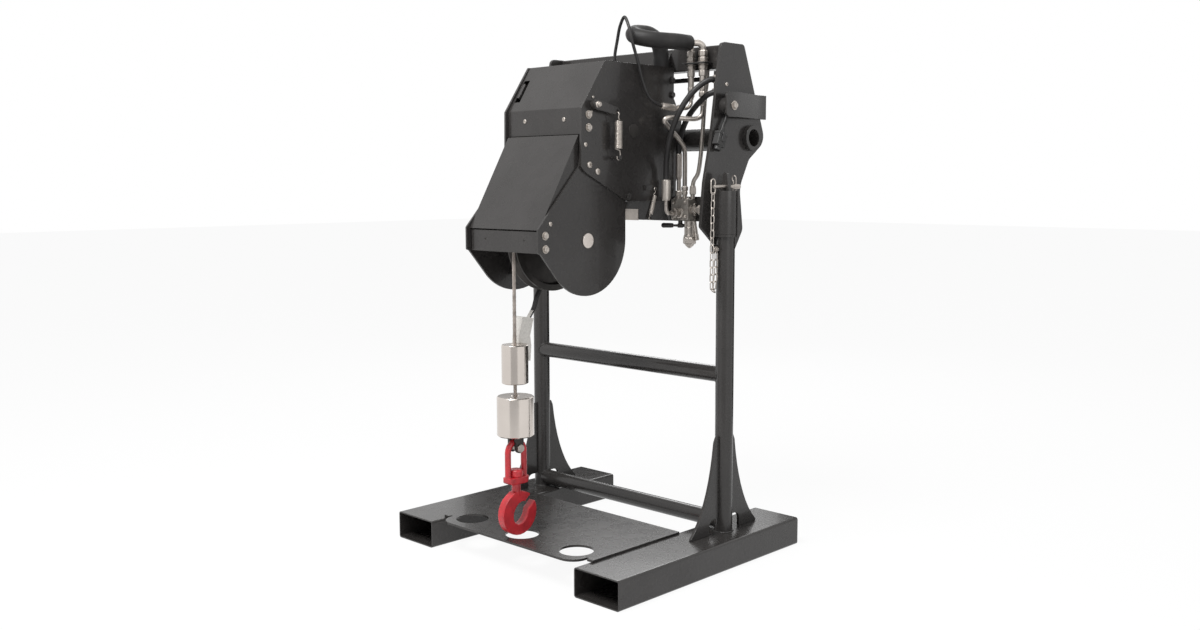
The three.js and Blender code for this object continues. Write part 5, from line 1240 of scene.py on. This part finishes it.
# Stage, in metres: flags and a card as (name, cloth, place, width, height), and lamps as
# (name, place, watts, size)
FLAGS = (
    ("flag_back", "black", (0.2, 2.6, 0.8), 2.6, 1.6), ("flag_low", "black", (-1.9, 2.0, 0.6), 1.7, 1.2),
    ("card_front", "grey", (1.5, -2.0, 1.3), 2.4, 2.6),
)
LAMPS = (
    ("key_lamp", (0.3, -2.9, 5.2), 320, 2.2), ("fill_lamp", (4.6, -1.0, 2.4), 38, 2.5),
    ("back_lamp", (-2.4, 3.4, 3.0), 50, 2.0),
)
LAMP_TARGET = Vector((0, 0, 0.95))
FLOOR_SIZE = 60
FLOOR_DROP = 0.0005
FLOOR_GLOW = 0.93
SKY_STRENGTH = 0.36

# The photograph's camera: its place, and its turns in degrees and its lens in pixels of the photograph
CAMERA_PLACE = (2.9809, -3.0400, 1.3327)
AZIMUTH = 43.82
ELEVATION = 6.10
ROLL = -0.11
PHOTO_SIZE = (1200, 630)
FOCAL = 1172.52
OPTICAL_CENTRE = (608.29, 306.39)
SENSOR = 36


class WINCH_OT_stage(BuildOperator, bpy.types.Operator):
    """Floor, lamps, sky and the camera at the photograph's place"""
    bl_idname = "winch.stage"
    bl_label = "Stage"

    def build(self):
        self.build_floor()
        self.build_sky()
        self.build_flags()
        self.build_lamps()
        self.build_camera()

    def build_floor(self):
        """White floor that keeps the object's shadow"""
        pick()
        bpy.ops.mesh.primitive_plane_add(size=FLOOR_SIZE, location=(0, 0, -FLOOR_DROP))
        floor = bpy.context.object
        floor.name = "floor"
        material, shader = new_material(
            "white_studio_floor", Base_Color=linear("#f6f6f6"), Roughness=0.9, Specular_IOR_Level=0.1,
        )
        floor.data.materials.append(material)
        self.show_white(material, (shader, "BSDF"), "ShaderNodeEmission", "Material Output", FLOOR_GLOW)

    def build_sky(self):
        """Dim white sky for light, which the camera sees as plain white"""
        world = bpy.data.worlds.new("studio")
        bpy.context.scene.world = world
        world.use_nodes = True
        light = world.node_tree.nodes["Background"]
        light.inputs["Color"].default_value = linear("#ffffff")
        light.inputs["Strength"].default_value = SKY_STRENGTH
        self.show_white(world, (light, "Background"), "ShaderNodeBackground", "World Output")

    def show_white(self, owner, lit, kind, output, share=1):
        """Mixes plain white over what is lit, for what the camera sees straight or through metal and
        glass. Less than a full share of it leaves some of the shadow in sight"""
        paths = add_node(owner, "ShaderNodeLightPath")
        straight = add_node(
            owner, "ShaderNodeMath", {"operation": "MAXIMUM"},
            {0: (paths, "Is Camera Ray"), 1: (paths, "Is Glossy Ray")},
        )
        seen = add_node(
            owner, "ShaderNodeMath", {"operation": "MAXIMUM"},
            {0: (straight, "Value"), 1: (paths, "Is Transmission Ray")},
        )
        if share < 1:
            part = {"operation": "MULTIPLY", 1: share}
            seen = add_node(owner, "ShaderNodeMath", part, {0: (seen, "Value")})
        white = add_node(owner, kind, {"Color": linear("#ffffff"), "Strength": 1.0})
        add_node(
            owner, "ShaderNodeMixShader", {}, {0: (seen, "Value"), 1: lit, 2: (white, 0)},
            {0: (owner.node_tree.nodes[output], "Surface")},
        )

    def build_flags(self):
        """Black cloths and a grey card round the object, which only its reflections show"""
        black, _ = new_material(
            "black_flag_cloth", Base_Color=linear("#101010"), Roughness=0.95, Specular_IOR_Level=0.1,
        )
        grey, unlit = new_material("grey_card")
        grey.node_tree.nodes.remove(unlit)
        add_node(
            grey, "ShaderNodeEmission", {"Color": linear("#cacaca"), "Strength": 1.0}, {},
            {"Emission": (grey.node_tree.nodes["Material Output"], "Surface")},
        )
        cloths = {"black": black, "grey": grey}
        for name, cloth, place, wide, high in FLAGS:
            pick()
            bpy.ops.mesh.primitive_plane_add(size=1, location=place)
            flag = bpy.context.object
            flag.name = name
            flag.scale = (wide, high, 1)
            aim = Vector((-place[0], -place[1], 0))
            flag.rotation_euler = aim.to_track_quat("Z", "Y").to_euler()
            flag.data.materials.append(cloths[cloth])
            for rays in ("camera", "diffuse", "shadow", "transmission"):
                setattr(flag, "visible_" + rays, False)

    def build_lamps(self):
        pick()
        for name, place, power, size in LAMPS:
            bpy.ops.object.light_add(type="AREA", location=place)
            lamp = bpy.context.object
            lamp.name = name
            lamp.data.energy = power
            lamp.data.size = size
            lamp.rotation_euler = (LAMP_TARGET - lamp.location).to_track_quat("-Z", "Y").to_euler()

    def build_camera(self):
        azimuth, elevation, roll = [math.radians(turn) for turn in (AZIMUTH, ELEVATION, ROLL)]
        level = Vector((math.sin(azimuth), -math.cos(azimuth), 0))
        back = level * math.cos(elevation) + Z * math.sin(elevation)
        right = (-back).cross(Z).normalized()
        basis = Matrix((right, right.cross(-back), back)).transposed()
        bpy.ops.object.camera_add(location=CAMERA_PLACE)
        camera = bpy.context.object
        camera.rotation_euler = (basis @ Matrix.Rotation(roll, 3, "Z")).to_euler()
        wide, high = PHOTO_SIZE
        camera.data.sensor_width = SENSOR
        camera.data.lens = FOCAL / wide * SENSOR
        camera.data.shift_x = (wide / 2 - OPTICAL_CENTRE[0]) / wide
        camera.data.shift_y = (OPTICAL_CENTRE[1] - high / 2) / wide
        bpy.context.scene.camera = camera
        bpy.context.scene.view_settings.view_transform = "Standard"


STEPS = (
    WINCH_OT_stage, WINCH_OT_steelwork, WINCH_OT_welds, WINCH_OT_fasteners, WINCH_OT_winch, WINCH_OT_rope,
    WINCH_OT_load, WINCH_OT_limit, WINCH_OT_springs, WINCH_OT_hoses, WINCH_OT_fittings, WINCH_OT_lock,
    WINCH_OT_side,
)


class WINCH_PT_panel(bpy.types.Panel):
    """Sizes, colours and build steps of the winch"""
    bl_idname = "WINCH_PT_panel"
    bl_label = "Winch"
    bl_space_type = "VIEW_3D"
    bl_region_type = "UI"
    bl_category = "Winch"

    def draw(self, context):
        for group in (context.scene.winch_sizes, context.scene.winch_colours):
            for name in group.__annotations__:
                self.layout.prop(group, name)
        for step in STEPS:
            self.layout.operator(step.bl_idname)


def register():
    for part in (WinchSizes, WinchColours, *STEPS, WINCH_PT_panel):
        bpy.utils.register_class(part)
    bpy.types.Scene.winch_sizes = bpy.props.PointerProperty(type=WinchSizes)
    bpy.types.Scene.winch_colours = bpy.props.PointerProperty(type=WinchColours)


def unregister():
    del bpy.types.Scene.winch_colours
    del bpy.types.Scene.winch_sizes
    for part in (WINCH_PT_panel, *reversed(STEPS), WinchColours, WinchSizes):
        bpy.utils.unregister_class(part)


def main():
    register()
    bpy.ops.winch.stage()
    bpy.ops.winch.steelwork()
    bpy.ops.winch.welds()
    bpy.ops.winch.fasteners()
    bpy.ops.winch.winch()
    bpy.ops.winch.rope()
    bpy.ops.winch.load()
    bpy.ops.winch.limit()
    bpy.ops.winch.springs()
    bpy.ops.winch.hoses()
    bpy.ops.winch.fittings()
    bpy.ops.winch.lock()
    bpy.ops.winch.side()


if __name__ == "__main__":
    main()
